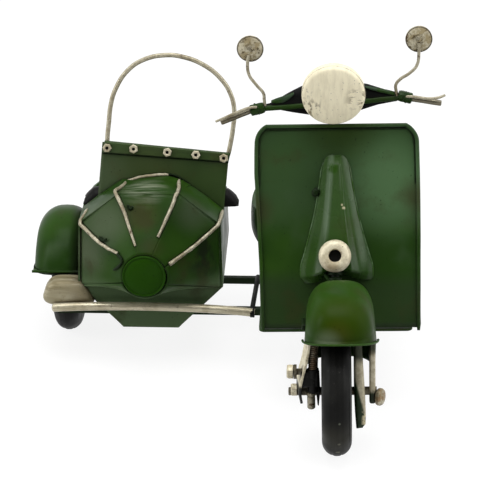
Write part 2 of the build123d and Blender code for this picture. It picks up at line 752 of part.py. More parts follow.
# windscreen panel, folded strip and hoop, leaning in their own plane
screen = place * panel_plane.location * Rot(0, 0, -panel_lean)
panel_lap = 3.0
panel_body = Box(panel_width, panel_height + 2 * panel_lap, sheet)
panel = Pos(0, panel_height / 2 - panel_lap, -sheet / 2) * panel_body
above_flank = place * box(-large, large, -large, large, flank_z, large)
panel_placed = (screen * panel) & above_flank
save("windscreen_panel", panel_placed)
strip_thickness = 1.2
strip_middle = panel_height - strip_height / 2
strip_body = Box(panel_width + 1.0, strip_height, strip_thickness)
strip_band = Pos(0, strip_middle, strip_thickness / 2) * strip_body
save("screen_strip", screen * strip_band)
hoop_half = panel_width / 2
hoop_shift = 0.8
hoop_foot = panel_height - strip_height - 4
hoop_shoulder = panel_height + 15.0
hoop_back = -sheet - hoop_wire_radius
foot_left = Vector(hoop_shift - hoop_half, hoop_foot, hoop_back)
shoulder_left = Vector(hoop_shift - hoop_half, hoop_shoulder, hoop_back)
crest = Vector(hoop_shift, hoop_shoulder + hoop_half, hoop_back)
shoulder_right = Vector(hoop_shift + hoop_half, hoop_shoulder, hoop_back)
foot_right = Vector(hoop_shift + hoop_half, hoop_foot, hoop_back)
hoop_path = Wire([
    Line(foot_left, shoulder_left),
    ThreePointArc(shoulder_left, crest, shoulder_right),
    Line(shoulder_right, foot_right),
])
hoop = sweep(Plane(origin=foot_left, z_dir=(0, 1, 0)) * Circle(hoop_wire_radius), path=hoop_path)
save("screen_hoop", screen * hoop)
NUT_SHARES = (-0.455, -0.25, 0.0, 0.225, 0.45)
nut_radius = 2.3
nut_hole_radius = 0.8
nut_height = 1.5
nuts = None
for share in NUT_SHARES:
    nut = extrude(RegularPolygon(nut_radius, 6) - Circle(nut_hole_radius), amount=nut_height)
    nut = Pos(share * panel_width, strip_middle, strip_thickness) * nut
    nuts = nut if nuts is None else nuts + nut
save("strip_nuts", screen * nuts)

# black padded dash roll behind the windscreen panel, flat below
pad_left_x = -tub_half + 0.7
pad_right_x = tub_half + 7.0
pad_front_y = cockpit_front + 2.5
pad_back_y = pad_front_y + 12.0
pad_height = 8.0
pad_round = 5.0
roll = rounded_block(
    pad_left_x, pad_right_x, pad_front_y, pad_back_y, flank_z, flank_z + pad_height, pad_round, pad_round
)
save("coaming_pad", place * (roll - tub) - panel_placed)

# seat cushion and back inside the tub
seat_half = tub_half - 10.0
seat_front_y = cockpit_front + 16.0
seat_back_y = cockpit_back - 6.0
seat_low_z = tub_floor_z + tub_wall
seat_high_z = flank_low + 7.5
backrest_high_z = flank_z + 7.5
cushion = box(-seat_half, seat_half, seat_front_y, seat_back_y, seat_low_z, seat_high_z) & tub_inner
save("seat_cushion", place * cushion)
seat_back = box(-seat_half, seat_half, seat_back_y - 10.0, seat_back_y - 2.2, seat_high_z, backrest_high_z)
save("seat_back", place * seat_back)

# ---- ridge wires on the nose ----
ridge_radius = 0.9
rim_half = nose_half - flank_draft
RIDGES = (
    # (deck start, rim corner, cap end) as (x, back, z)
    ((2.0 - rim_half, 9.0, flank_z + 1.9), (-rim_half, 0.0, flank_z), (-13.0, -15.0, 34.5)),
    ((-roof_half, 12.0, roof_z), (-roof_half, 0.0, roof_z), (-4.0, -17.0, 40.5)),
    ((roof_half, 12.0, roof_z), (roof_half, 0.0, roof_z), (7.0, -10.0, 49.5)),
    ((rim_half, 12.0, flank_z), (rim_half, 0.0, flank_z), (12.0, -17.5, 32.5)),
)
ridges = None
for deck, corner, end in RIDGES:
    lift = Vector(0, -0.5, 0.7)
    wire = rod(tuple(Vector(*deck) + Vector(0, 0, 0.6)), tuple(Vector(*corner) + lift), ridge_radius)
    wire += Pos(*(Vector(*corner) + lift)) * Sphere(ridge_radius)
    wire += rod(tuple(Vector(*corner) + lift), tuple(Vector(*end) + Vector(0, -1.0, 0.6)), ridge_radius)
    wire = wire - nose_outer - tub_outer
    ridges = wire if ridges is None else ridges + wire
save("ridge_wires", place * ridges)

# ---- chassis: cross bars, rail, bumper, axle, step box, fender ----
tub_solid = place * (tub_outer + nose_outer + nose)
spine_middle_x = 0.0
bar_left_x = -wheel_track - 1.5
half_depth = bar_front_depth / 2
bar_front_top = bar_front_z + bar_front_height / 2
front_bar = box(bar_left_x, spine_middle_x, bar_front_y - half_depth, bar_front_y + half_depth,
                bar_front_top - bar_front_height, bar_front_top)
placed_spine = on_scooter(spine)
front_bar = on_chassis(front_bar) - tub_solid - placed_spine
side_play = 1.2
hub_cap_depth = 2.0
hub_cap_radius = 3.4
axle_shoulder_x = -(wheel_track - hub_width / 2 - side_play)
axle_outer_x = -(wheel_track + hub_width / 2 + side_play)
axle_inner_x = tub_x - scooter_x - keel_half
side_axle = xcyl(axle_radius, axle_outer_x, axle_inner_x, sidecar_axle_y, wheel_radius)
side_axle += xcyl(hub_cap_radius, axle_outer_x - hub_cap_depth, axle_outer_x, sidecar_axle_y, wheel_radius)
placed_axle = on_chassis(side_axle) - tub_solid
save("sidecar_axle", placed_axle)
half_bar = bar_rear_size / 2
rear_bar = box(axle_shoulder_x, spine_middle_x, sidecar_axle_y - half_bar, sidecar_axle_y + half_bar,
               bar_rear_z - half_bar, bar_rear_z + half_bar)
rear_bar = on_chassis(rear_bar) - tub_solid - placed_spine - placed_axle
rail_front = (rail_x, bumper_y, bar_front_top + rail_radius)
rail = rod(rail_front, (rail_x, rail_back_y, bar_rear_z + half_bar + rail_radius), rail_radius)
rail = on_chassis(rail) - rear_bar - front_bar
save("rear_cross_bar", rear_bar)
save("front_cross_bar", front_bar)
bumper_left = Vector(bumper_left_x, bumper_y, bumper_z)
bumper_middle = Vector((bumper_left_x + bumper_right_x) / 2, bumper_y, bumper_z + bumper_bow)
bumper_right = Vector(bumper_right_x, bumper_y, bumper_z - bumper_sag)
bumper_path = ThreePointArc(bumper_left, bumper_middle, bumper_right)
bumper_start = Plane(origin=bumper_left, z_dir=bumper_path % 0)
bumper = sweep(bumper_start * Circle(bumper_radius), path=bumper_path) + Pos(*bumper_left) * Sphere(bumper_radius)
bumper = on_chassis(bumper)
save("side_rail", rail - bumper)
save("bumper", bumper)
step_left_x = -wheel_track - 10.5
step_right_x = -wheel_track + 19.5
step_front_y = bumper_y + bumper_radius
step_back_y = step_front_y + 14.2
step_box = rounded_block(
    step_left_x, step_right_x, step_front_y, step_back_y, bumper_z, bumper_z + 14.4, 4.0, 3.0
)
save("step_box", on_chassis(step_box) - tub_solid - bumper)

side_fender_inner_x = -wheel_track + 12.9
side_fender_outer_x = -wheel_track - 16.5
side_fender_radius = wheel_radius + 5.5
side_fender_round = 13.0
# the drum's lower edge in side view: back from its front, up from the axle
side_rim_line = ((-9.0, 15.0), (12.0, 12.0), (60.0, 8.5), (90.0, 5.5))


def drum(x0, x1, radius, edge_round):
    """A round drum across the chassis with rounded edges."""
    block = xcyl(radius, x0, x1, sidecar_axle_y, wheel_radius)
    return fillet(block.edges().filter_by(GeomType.CIRCLE), edge_round)


side_fender = drum(side_fender_outer_x, side_fender_inner_x, side_fender_radius, side_fender_round)
side_fender -= drum(
    side_fender_outer_x + fender_wall, side_fender_inner_x - fender_wall,
    side_fender_radius - fender_wall, side_fender_round - fender_wall,
)
fender_front_edge = sidecar_axle_y - side_fender_radius
below = [(fender_front_edge + back, wheel_radius + up) for back, up in side_rim_line]
below = [(below[0][0], -wheel_radius)] + below + [(below[-1][0], -wheel_radius)]
below_face = make_face(Polyline(*below, close=True).edges())
side_view = Plane(origin=(side_fender_outer_x - 5, 0, 0), x_dir=(0, 1, 0), z_dir=(1, 0, 0))
side_fender -= side_view * extrude(below_face, amount=side_fender_inner_x - side_fender_outer_x + 10)
side_fender = on_chassis(side_fender) - tub_solid
save("sidecar_fender", side_fender)
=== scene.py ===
import math

import bmesh
import bpy
from mathutils import Matrix, Vector, noise


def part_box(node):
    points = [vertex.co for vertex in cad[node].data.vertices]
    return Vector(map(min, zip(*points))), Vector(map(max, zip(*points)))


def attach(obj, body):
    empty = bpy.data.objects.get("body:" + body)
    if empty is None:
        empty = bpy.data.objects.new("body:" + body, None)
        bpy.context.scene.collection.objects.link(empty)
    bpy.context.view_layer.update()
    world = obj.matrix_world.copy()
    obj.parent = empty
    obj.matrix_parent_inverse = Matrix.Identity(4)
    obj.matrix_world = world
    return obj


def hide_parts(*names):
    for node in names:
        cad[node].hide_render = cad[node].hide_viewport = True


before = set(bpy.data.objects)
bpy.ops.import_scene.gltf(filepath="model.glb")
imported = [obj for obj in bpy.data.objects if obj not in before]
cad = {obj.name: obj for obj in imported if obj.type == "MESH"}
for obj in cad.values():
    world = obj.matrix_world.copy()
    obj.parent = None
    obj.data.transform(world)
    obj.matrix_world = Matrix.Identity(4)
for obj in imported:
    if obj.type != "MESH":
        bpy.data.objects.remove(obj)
noise.seed_set(1)  # without this, noise_vector is seeded from the clock
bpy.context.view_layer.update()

# Lengths below are millimetres; this scale brings them into the scene's metres.
MM = 0.001


# ================= frames of the model =================
def middle(node):
    low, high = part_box(node)
    return (low + high) / 2 / MM


AXLE = middle("front_tyre")
SCOOTER_LEAN = math.radians(1.4)
AXLE_Z = 30.5
WHEELBASE = 183
SIDE_WHEEL_X, SIDE_WHEEL_Y = -140.5, 139
TUB_ORIGIN = (-94.2, 94.0, 0)
SHIELD_FOOT_Y, SHIELD_FOOT_Z = 33, 47
STEER_CROSS_UP = 84
TO_SCENE = Matrix.Scale(MM, 4)


def turned(angle, axis):
    return Matrix.Rotation(angle, 4, axis)


def moved(x, y, z):
    return Matrix.Translation((x, y, z))


def plane(origin, up, normal):
    """A frame whose Y runs up a sheet and whose Z is the sheet's normal."""
    up = Vector(up).normalized()
    normal = Vector(normal).normalized()
    side = up.cross(normal)
    return Matrix.Translation(origin) @ Matrix((side, up, normal)).transposed().to_4x4()


# Scooter: X from its middle plane, Y back from the front axle, Z up; it leans towards the sidecar.
CHASSIS = TO_SCENE @ moved(AXLE.x, AXLE.y, 0)
SCOOTER = CHASSIS @ moved(0, 0, AXLE.z) @ turned(-SCOOTER_LEAN, "Y") @ moved(0, 0, -AXLE.z)
TUB = CHASSIS @ moved(*TUB_ORIGIN)

shield_rake = math.radians(20.0)
SHIELD = SCOOTER @ plane((0, SHIELD_FOOT_Y, SHIELD_FOOT_Z), (0, math.sin(shield_rake), math.cos(shield_rake)),
                         (0, -math.cos(shield_rake), math.sin(shield_rake)))
steer_rake = math.radians(27.0)
steer_cross = Vector((0, SHIELD_FOOT_Y + STEER_CROSS_UP * math.sin(shield_rake),
                      SHIELD_FOOT_Z + STEER_CROSS_UP * math.cos(shield_rake)))
STEER_UP = Vector((0, math.sin(steer_rake), math.cos(steer_rake)))
STEER_OUT = Vector((0, -math.cos(steer_rake), math.sin(steer_rake)))


def on_steer_axis(z):
    return steer_cross + STEER_UP * ((z - steer_cross.z) / STEER_UP.z)


BAR_Z = 148.0
BAR_Y = on_steer_axis(BAR_Z).y
BAR = SCOOTER @ moved(-1.2, BAR_Y, BAR_Z) @ turned(-math.radians(3.6), "Y")
panel_rake = math.radians(10.0)
SCREEN = TUB @ plane((3, 22, 76.5), (0, math.sin(panel_rake), math.cos(panel_rake)),
                     (0, -math.cos(panel_rake), math.sin(panel_rake))) @ turned(-math.radians(5.0), "Z")

horn_seat = on_steer_axis(SHIELD_FOOT_Z + 34.3 * math.cos(shield_rake) + 3.0) + STEER_OUT * 4.6
HORN = SCOOTER @ plane(horn_seat, STEER_UP, STEER_OUT)
horn_low = HORN @ Vector((-2.0, -6.5, 2.0))

LAMP_TILT = math.radians(9.0)
LAMP = SCOOTER @ plane((0, 52, 158), (0, -math.sin(LAMP_TILT), math.cos(LAMP_TILT)),
                       (0, -math.cos(LAMP_TILT), -math.sin(LAMP_TILT)))

# ================= camera =================
camera_data = bpy.data.cameras.new("camera")
camera_data.lens = 159.75
camera_data.sensor_width = 36.0
camera_data.clip_start = 0.05
camera = bpy.data.objects.new("camera", camera_data)
camera.location = CHASSIS @ Vector((-13.8, -901.7, 470.8))
camera.rotation_euler = (math.radians(90 - 22), 0, math.radians(2))
bpy.context.scene.collection.objects.link(camera)
bpy.context.scene.camera = camera


# ================= materials =================
class Paint:
    """A node material on one principled shader, with short calls for its usual nodes."""

    def __init__(self, name):
        self.material = bpy.data.materials.new(name)
        self.material.use_nodes = True
        self.tree = self.material.node_tree
        self.shader = self.tree.nodes["Principled BSDF"]
        self.place = self.add("ShaderNodeTexCoord").outputs["Object"]
        self.origin = self.place

    def add(self, kind, **values):
        node = self.tree.nodes.new(kind)
        for key, value in values.items():
            if key in node.inputs:
                node.inputs[key].default_value = value
            else:
                setattr(node, key, value)
        return node

    def link(self, source, target):
        self.tree.links.new(source, target)

    def stretched(self, x, y, z):
        mapping = self.add("ShaderNodeMapping")
        mapping.inputs["Scale"].default_value = (x, y, z)
        self.link(self.place, mapping.inputs["Vector"])
        return mapping.outputs[0]

    def cloud(self, scale, detail=4.0, rough=0.55, place=None):
        node = self.add("ShaderNodeTexNoise", Scale=scale, Detail=detail, Roughness=rough)
        self.link(place or self.place, node.inputs["Vector"])
        return node.outputs["Fac"]

    def between(self, value, low, high, to_low=0.0, to_high=1.0):
        node = self.add("ShaderNodeMapRange", interpolation_type="SMOOTHSTEP")
        node.inputs["From Min"].default_value = low
        node.inputs["From Max"].default_value = high
        node.inputs["To Min"].default_value = to_low
        node.inputs["To Max"].default_value = to_high
        self.link(value, node.inputs["Value"])
        return node.outputs[0]

    def product(self, first, second):
        node = self.add("ShaderNodeMath", operation="MULTIPLY")
        self.link(first, node.inputs[0])
        if isinstance(second, float):
            node.inputs[1].default_value = second
        else:
            self.link(second, node.inputs[1])
        return node.outputs[0]

    def along(self, direction, origin=(0, 0, 0)):
        """How far a point of the model lies along a direction from an origin, in millimetres."""
        offset = self.add("ShaderNodeVectorMath", operation="SUBTRACT")
        self.link(self.origin, offset.inputs[0])
        offset.inputs[1].default_value = origin
        dot = self.add("ShaderNodeVectorMath", operation="DOT_PRODUCT")
        self.link(offset.outputs[0], dot.inputs[0])
        dot.inputs[1].default_value = Vector(direction) / MM
        return dot.outputs["Value"]

    def near(self, point, inner, outer):
        """1 within inner millimetres of a point of the model, fading to 0 at outer."""
        node = self.add("ShaderNodeVectorMath", operation="DISTANCE")
        self.link(self.origin, node.inputs[0])
        node.inputs[1].default_value = point
        return self.between(node.outputs["Value"], outer * MM, inner * MM)

    def band(self, first, last, inner, outer, share=1.0):
        """A soft stripe along a line on the leg shield, between two (x, s) points."""
        run = Vector(last) - Vector(first)
        across = SHIELD.to_3x3() @ Vector((run.y, -run.x, 0)).normalized()
        distance = self.add("ShaderNodeMath", operation="ABSOLUTE")
        self.link(self.along(across.normalized(), on_shield(*first)), distance.inputs[0])
        return self.between(distance.outputs[0], outer, inner, 0, share)

    def blend(self, share, under, over):
        node = self.add("ShaderNodeMix", data_type="RGBA")
        self.link(share, node.inputs[0])
        for socket, colour in ((node.inputs[6], under), (node.inputs[7], over)):
            if isinstance(colour, tuple):
                socket.default_value = (*colour, 1)
            else:
                self.link(colour, socket)
        return node.outputs[2]

    def edges(self, width):
        """1 on edges and corners sharper than the given width, 0 on open faces."""
        rounded = self.add("ShaderNodeBevel", samples=4, Radius=width * MM)
        plain = self.add("ShaderNodeNewGeometry")
        dot = self.add("ShaderNodeVectorMath", operation="DOT_PRODUCT")
        self.link(rounded.outputs[0], dot.inputs[0])
        self.link(plain.outputs["Normal"], dot.inputs[1])
        return self.between(dot.outputs["Value"], 0.99, 0.86)

    def crease_shade(self, reach):
        # Ambient occlusion as a mask, 1 deep in hollows and corners; the materials darken with it as painted shade.
        node = self.add("ShaderNodeAmbientOcclusion", samples=4, Distance=reach * MM)
        return self.between(node.outputs["AO"], 0.85, 0.35)

    def bump(self, height, strength, depth, base=None):
        node = self.add("ShaderNodeBump", Strength=strength, Distance=depth * MM)
        self.link(height, node.inputs["Height"])
        if base is not None:
            self.link(base, node.inputs["Normal"])
        return node.outputs[0]

    def finish(self, colour, roughness, normal=None, metallic=0.0, specular=0.5, coat=0.0):
        self.link(colour, self.shader.inputs["Base Color"])
        if isinstance(roughness, float):
            self.shader.inputs["Roughness"].default_value = roughness
        else:
            self.link(roughness, self.shader.inputs["Roughness"])
        if normal is not None:
            self.link(normal, self.shader.inputs["Normal"])
        self.shader.inputs["Metallic"].default_value = metallic
        self.shader.inputs["Specular IOR Level"].default_value = specular
        self.shader.inputs["Coat Weight"].default_value = coat
        return self.material


DEEP_GREEN = (0.015, 0.044, 0.005)
LEAF_GREEN = (0.022, 0.060, 0.006)
GREY_GREEN = (0.034, 0.066, 0.026)
PALE_GREEN = (0.090, 0.135, 0.080)
# Near-black green, for soot stains and for painted shade.
SOOT_AND_SHADE_GREEN = (0.010, 0.018, 0.006)
BROWN_STAIN = (0.034, 0.030, 0.010)
NEAR_BLACK = (0.005, 0.006, 0.004)
CHAMPAGNE = (0.62, 0.57, 0.42)
DULL_CHAMPAGNE = (0.30, 0.25, 0.15)
CREAM_CHIP = (0.56, 0.50, 0.32)
RUST = (0.060, 0.030, 0.012)


def green_enamel(name, shade=1.0, stain=1.0, rough=0.36, seed=0.0, wear=1.0, shine=0.11, zones=()):
    """Dark green enamel: cloudy tone, brown patina, painted shade darkening its hollows and rubbed pale edges.

    zones are (mask, colour) pairs laid over the tone, each mask a function of the paint.
    """
    p = Paint(name)
    shifted = p.add("ShaderNodeMapping")
    shifted.inputs["Location"].default_value = (seed, seed * 0.7, -seed)
    p.link(p.place, shifted.inputs["Vector"])
    p.place = shifted.outputs[0]
    tone = tuple(shade * c for c in DEEP_GREEN)
    bright = tuple(shade * c for c in LEAF_GREEN)
    grey = tuple(shade * c for c in GREY_GREEN)
    brown = tuple(shade * c for c in BROWN_STAIN)
    colour = p.blend(p.between(p.cloud(24, 2.0), 0.42, 0.62), tone, bright)
    colour = p.blend(p.between(p.cloud(38, 3.0), 0.52, 0.70, 0, 0.5), colour, grey)
    for mask, paint in zones:
        colour = p.blend(mask(p), colour, tuple(shade * c for c in paint))
    patches = p.between(p.cloud(46, 5.0, 0.6), 0.54, 0.72, 0, 0.7 * stain)
    colour = p.blend(patches, colour, brown)
    specks = p.between(p.cloud(900, 2.0), 0.69, 0.76, 0, 0.8)
    colour = p.blend(specks, colour, NEAR_BLACK)
    # Painted shade: hollows and corners darkened towards near black by ambient occlusion.
    colour = p.blend(p.product(p.crease_shade(3.0), 0.85), colour, NEAR_BLACK)
    rubbed = p.product(p.edges(0.5), p.between(p.cloud(260, 4.0, 0.65), 0.46, 0.62, 0, 0.5 * wear))
    colour = p.blend(rubbed, colour, PALE_GREEN)
    chips = p.product(p.edges(0.35), p.between(p.cloud(170, 5.0, 0.7), 0.63, 0.68, 0, wear))
    colour = p.blend(chips, colour, CREAM_CHIP)
    roughness = p.between(p.cloud(60, 4.0), 0.3, 0.7, rough - 0.07, rough + 0.12)
    rounded = p.add("ShaderNodeBevel", samples=4, Radius=0.35 * MM).outputs[0]
    normal = p.bump(p.cloud(700, 3.0), 0.12, 0.12, rounded)
    normal = p.bump(p.cloud(70, 2.0), 0.25, 0.5, normal)
    return p.finish(colour, roughness, normal, specular=shine)


def aged_silver(name, metallic=0.35, brush=(1, 1, 1), dirt=1.0, tint=1.0, rough=0.42, grain=0.5,
                zones=()):
    """Champagne-silver paint: brushed streaks, brown stains, dark specks and painted shade in its hollows."""
    p = Paint(name)
    streaks = p.cloud(420, 5.0, 0.6, p.stretched(*brush))
    base = tuple(tint * c for c in CHAMPAGNE)
    dull = tuple(tint * c for c in DULL_CHAMPAGNE)
    colour = p.blend(p.between(streaks, 0.38, 0.66, 0, grain), base, dull)
    clouds = p.between(p.cloud(110, 5.0, 0.6), 0.48, 0.66, 0, 0.65 * dirt)
    colour = p.blend(clouds, colour, dull)
    stains = p.between(p.cloud(190, 6.0, 0.68), 0.58, 0.70, 0, 0.9 * dirt)
    colour = p.blend(stains, colour, RUST)
    for mask, paint in zones:
        colour = p.blend(mask(p), colour, paint)
    specks = p.between(p.cloud(1100, 2.0), 0.68, 0.74, 0, 0.8)
    colour = p.blend(specks, colour, (0.05, 0.035, 0.02))
    # Painted shade: hollows darkened by ambient occlusion.
    colour = p.blend(p.product(p.crease_shade(1.6), 0.85), colour, (0.04, 0.025, 0.012))
    roughness = p.between(streaks, 0.3, 0.7, rough - 0.08, rough + 0.14)
    rounded = p.add("ShaderNodeBevel", samples=4, Radius=0.25 * MM).outputs[0]
    normal = p.bump(streaks, 0.25, 0.12, rounded)
    normal = p.bump(p.cloud(300, 3.0), 0.3, 0.2, normal)
    return p.finish(colour, roughness, normal, metallic=metallic, specular=0.25)


def black_rubber(name, dust=0.5, rough=0.55, shade=1.0, zones=()):
    p = Paint(name)
    dark = tuple(shade * c for c in (0.006, 0.006, 0.0055))
    grey = tuple(shade * c for c in (0.020, 0.020, 0.018))
    colour = p.blend(p.between(p.cloud(40, 4.0), 0.4, 0.7, 0, dust), dark, grey)
    for mask, paint in zones:
        colour = p.blend(mask(p), colour, paint)
    colour = p.blend(p.between(p.cloud(800, 3.0, 0.7), 0.66, 0.72, 0, 0.5 * dust), colour, (0.12, 0.115, 0.10))
    roughness = p.between(p.cloud(90, 4.0), 0.3, 0.7, rough - 0.1, rough + 0.12)
    normal = p.bump(p.cloud(1500, 3.0), 0.15, 0.1)
    return p.finish(colour, roughness, normal, specular=0.09)


def leathercloth(name, colour_low, colour_high):
    p = Paint(name)
    colour = p.blend(p.between(p.cloud(60, 4.0), 0.35, 0.7), colour_low, colour_high)
    # Painted shade: hollows darkened by ambient occlusion.
    colour = p.blend(p.product(p.crease_shade(2.5), 0.8), colour, tuple(0.3 * c for c in colour_low))
    grain = p.add("ShaderNodeTexVoronoi", Scale=1500.0, feature="SMOOTH_F1")
    p.link(p.place, grain.inputs["Vector"])
    worn = p.product(p.edges(0.8), p.between(p.cloud(200, 4.0), 0.45, 0.65, 0, 0.5))
    colour = p.blend(worn, colour, tuple(3.0 * c for c in colour_high))
    roughness = p.between(p.cloud(120, 3.0), 0.3, 0.7, 0.42, 0.62)
    normal = p.bump(grain.outputs["Distance"], 0.35, 0.12)
    return p.finish(colour, roughness, normal, specular=0.45)


def red_glass(name):
    p = Paint(name)
    ribs = p.add("ShaderNodeTexWave", Scale=260.0, bands_direction="Z")
    p.link(p.place, ribs.inputs["Vector"])
    colour = p.blend(p.between(p.cloud(150, 3.0), 0.4, 0.7), (0.24, 0.008, 0.006), (0.10, 0.004, 0.004))
    return p.finish(colour, 0.22, p.bump(ribs.outputs["Color"], 0.3, 0.2), specular=0.5, coat=0.4)


def on_shield(x, s, out=0.0):
    return SHIELD @ Vector((x, s, out))


def on_tub(x, back, z):
    return TUB @ Vector((x, back, z))


def height(p, low, high, share):
    """A zone that grows from one height to another, both in millimetres above the floor."""
    return p.between(p.along((0, 0, 1)), low, high, 0, share)


def streaky(p, mask, scale, stretch, low=0.42, high=0.60):
    return p.product(mask, p.between(p.cloud(scale, 4.0, 0.6, p.stretched(*stretch)), low, high))


def spot(point, inner, outer, share=None):
    """A zone round a point of the model, solid to inner millimetres and gone at outer."""
    if share is None:
        return lambda p: p.near(point, inner, outer)
    return lambda p: p.product(p.near(point, inner, outer), share)


def rise(low, high, share):
    return lambda p: height(p, low, high, share)


def mottle(scale, detail, low, high, to_low=0.0, to_high=1.0, rough=0.55):
    return lambda p: p.between(p.cloud(scale, detail, rough), low, high, to_low, to_high)


def streaky_spot(point, inner, outer, scale, stretch, low=0.42, high=0.60):
    return lambda p: streaky(p, p.near(point, inner, outer), scale, stretch, low, high)


def tread_point(side, below):
    """A point on the front tyre's tread, below the axle by an angle in degrees."""
    angle = math.radians(below)
    return SCOOTER @ Vector((side, -30.4 * math.cos(angle), 30.5 - 30.4 * math.sin(angle)))


GREEN = green_enamel("green_enamel")
SHIELD_GREEN = green_enamel("shield_enamel", stain=0.55, seed=0.11, rough=0.40, zones=(
    # Painted sheen: greyer green towards the top of the sheet and a paler patch up to the right; plain green kept at
    # the top middle.
    (rise(86, 104, 0.70), GREY_GREEN),
    (spot(on_shield(26, 70), 6, 32, 0.9), (0.070, 0.136, 0.058)),
    (spot(on_shield(4, 99), 3, 26, 0.80), (0.022, 0.043, 0.006)),
    # Painted shade: darker towards the foot of the sheet.
    (rise(76, 66, 0.80), (0.018, 0.036, 0.011)),
    (spot(on_shield(-38, 58), 2, 12, 0.6), BROWN_STAIN),
    (spot(on_shield(40, 64), 2, 12, 0.6), BROWN_STAIN),
))
COVER_GREEN = green_enamel("cover_enamel", stain=0.35, seed=0.91, rough=0.25, wear=1.5, shine=0.17, zones=(
    (rise(84, 104, 0.80), (0.036, 0.076, 0.020)),
    # Painted highlights: two pale streaks down the cover's ridges.
    (lambda p: p.product(p.band((-1.6, 80), (-4.6, 45), 0.3, 2.2, 0.6), height(p, 88, 98, 1.0)),
     (0.130, 0.185, 0.115)),
    (lambda p: p.product(p.band((7.0, 74), (12.8, 38), 0.4, 2.6, 0.6), height(p, 74, 84, 1.0)),
     (0.130, 0.175, 0.115)),
    (spot(on_shield(4.3, 58.7, 7.4), 0.3, 1.1), CREAM_CHIP),
    (spot(on_shield(3.6, 60.2, 7.4), 0.1, 0.8), CREAM_CHIP),
    (spot(on_shield(-0.6, 77.5, 4.6), 1.5, 3.4), (0.022, 0.066, 0.005)),
))
# Paler enamel for the cover's edge beads: partly rubbed wear, partly a painted highlight along the edges.
HEM_WEAR_AND_HIGHLIGHT = green_enamel("hem_wear_and_highlight_enamel", shade=1.6, stain=0.4, seed=0.37, rough=0.34, wear=1.6, zones=(
    (mottle(150, 3.0, 0.40, 0.62, 0, 0.55), PALE_GREEN),
))
FENDER_GREEN = green_enamel("fender_enamel", stain=0.5, seed=0.53, rough=0.40, shine=0.05, zones=(
    (spot(SCOOTER @ Vector((3, -20, 74)), 6, 19, 0.95), (0.023, 0.046, 0.001)),
    (spot(SCOOTER @ Vector((1, -24, 71)), 1, 9, 0.55), (0.046, 0.050, 0.006)),
    # Painted highlight: a pale patch low on the front of the fender.
    (spot(SCOOTER @ Vector((-4, -25, 66)), 1, 9, 0.85), (0.110, 0.145, 0.080)),
))
WING_GREEN = green_enamel("wing_enamel", stain=0.5, seed=0.23, rough=0.34, shine=0.06, zones=(
    # Painted highlight: a pale patch on the sidecar fender.
    (spot(CHASSIS @ Vector((-147, 103, 61)), 3, 15, 0.92), (0.150, 0.205, 0.125)),
    # Painted shade: the fender goes near black on its side towards the tub.
    (lambda p: p.between(p.along((1, 0, 0), CHASSIS @ Vector((-139.0, 0, 0))), 0.0, 6.0, 0, 0.97), SOOT_AND_SHADE_GREEN),
    (spot(CHASSIS @ Vector((-134.0, 108, 64)), 1.0, 3.5), NEAR_BLACK),
))
TUB_GREEN = green_enamel("tub_enamel", stain=0.8, seed=0.31, rough=0.34, shine=0.06, zones=(
    # Painted reflection: paler grey-green towards the bottom of the nose.
    (rise(54, 42, 0.85), (0.095, 0.145, 0.070)),
    # Painted reflection: a pale streaky glare on the deck below the panel.
    (streaky_spot(on_tub(-3, 6, 93), 4, 15, 240, (0.16, 1.7, 1.0), 0.36, 0.62), (0.20, 0.23, 0.155)),
    # Painted reflections: pale grey-green patches on the upper and lower left facets.
    (spot(on_tub(-22, -6, 80), 2, 19, 0.75), (0.080, 0.108, 0.058)),
    (spot(on_tub(-33, -4, 62), 2, 19, 0.80), (0.085, 0.110, 0.060)),
    (spot(on_tub(-3, -7, 84), 3, 13, 0.55), (0.048, 0.062, 0.012)),
    # Painted reflection: a pale patch on the upper right facet.
    (spot(on_tub(22, -2, 84), 1, 15, 0.55), (0.070, 0.090, 0.055)),
    (streaky_spot(on_tub(30, -5, 62), 4, 17, 90, (1.0, 1.0, 0.5), 0.46, 0.58), SOOT_AND_SHADE_GREEN),
    (spot(on_tub(2, -15, 69), 2, 9, 0.5), (0.034, 0.030, 0.010)),
))
CAP_GREEN = green_enamel("cap_enamel", stain=0.1, seed=0.77, rough=0.50, wear=0.2, shine=0.05, zones=(
    (mottle(30, 2.0, 0.3, 0.7, 0.6, 1.0), (0.014, 0.056, 0.001)),
))
LIP_GREEN = green_enamel("lip_enamel", shade=1.1, stain=0.3, seed=0.61, rough=0.36, wear=1.6)
# Dark enamel for dark parts, also for the dark wires that are painted shadows in joints and folds.
DARK_GREEN_AND_SHADOW = green_enamel("dark_enamel_and_shadow", shade=0.30, stain=0.4, rough=0.45, wear=0.6)
BAR_GREEN = green_enamel("bar_enamel", shade=0.75, stain=0.4, seed=0.2, wear=0.9)
FLAP_GREEN = green_enamel("flap_enamel", shade=0.95, stain=0.4, seed=0.27, wear=1.2, zones=(
    (mottle(90, 3.0, 0.40, 0.60, 0, 0.8), (0.036, 0.060, 0.036)),
))
# Shade 1.5 is a lighter copy of the enamel, painted light for a panel the lamps light weakly.
PANEL_GREEN = green_enamel("panel_enamel", shade=1.5, stain=0.5, seed=0.43, rough=0.38, wear=0.9, zones=(
    (rise(60, 70, 0.75), (0.026, 0.040, 0.014)),
    (spot(on_tub(-26, 22, 94), 4, 24, 0.8), (0.046, 0.064, 0.032)),
    (spot(on_tub(-2, 22, 98), 2, 26, 0.7), (0.034, 0.048, 0.016)),
))
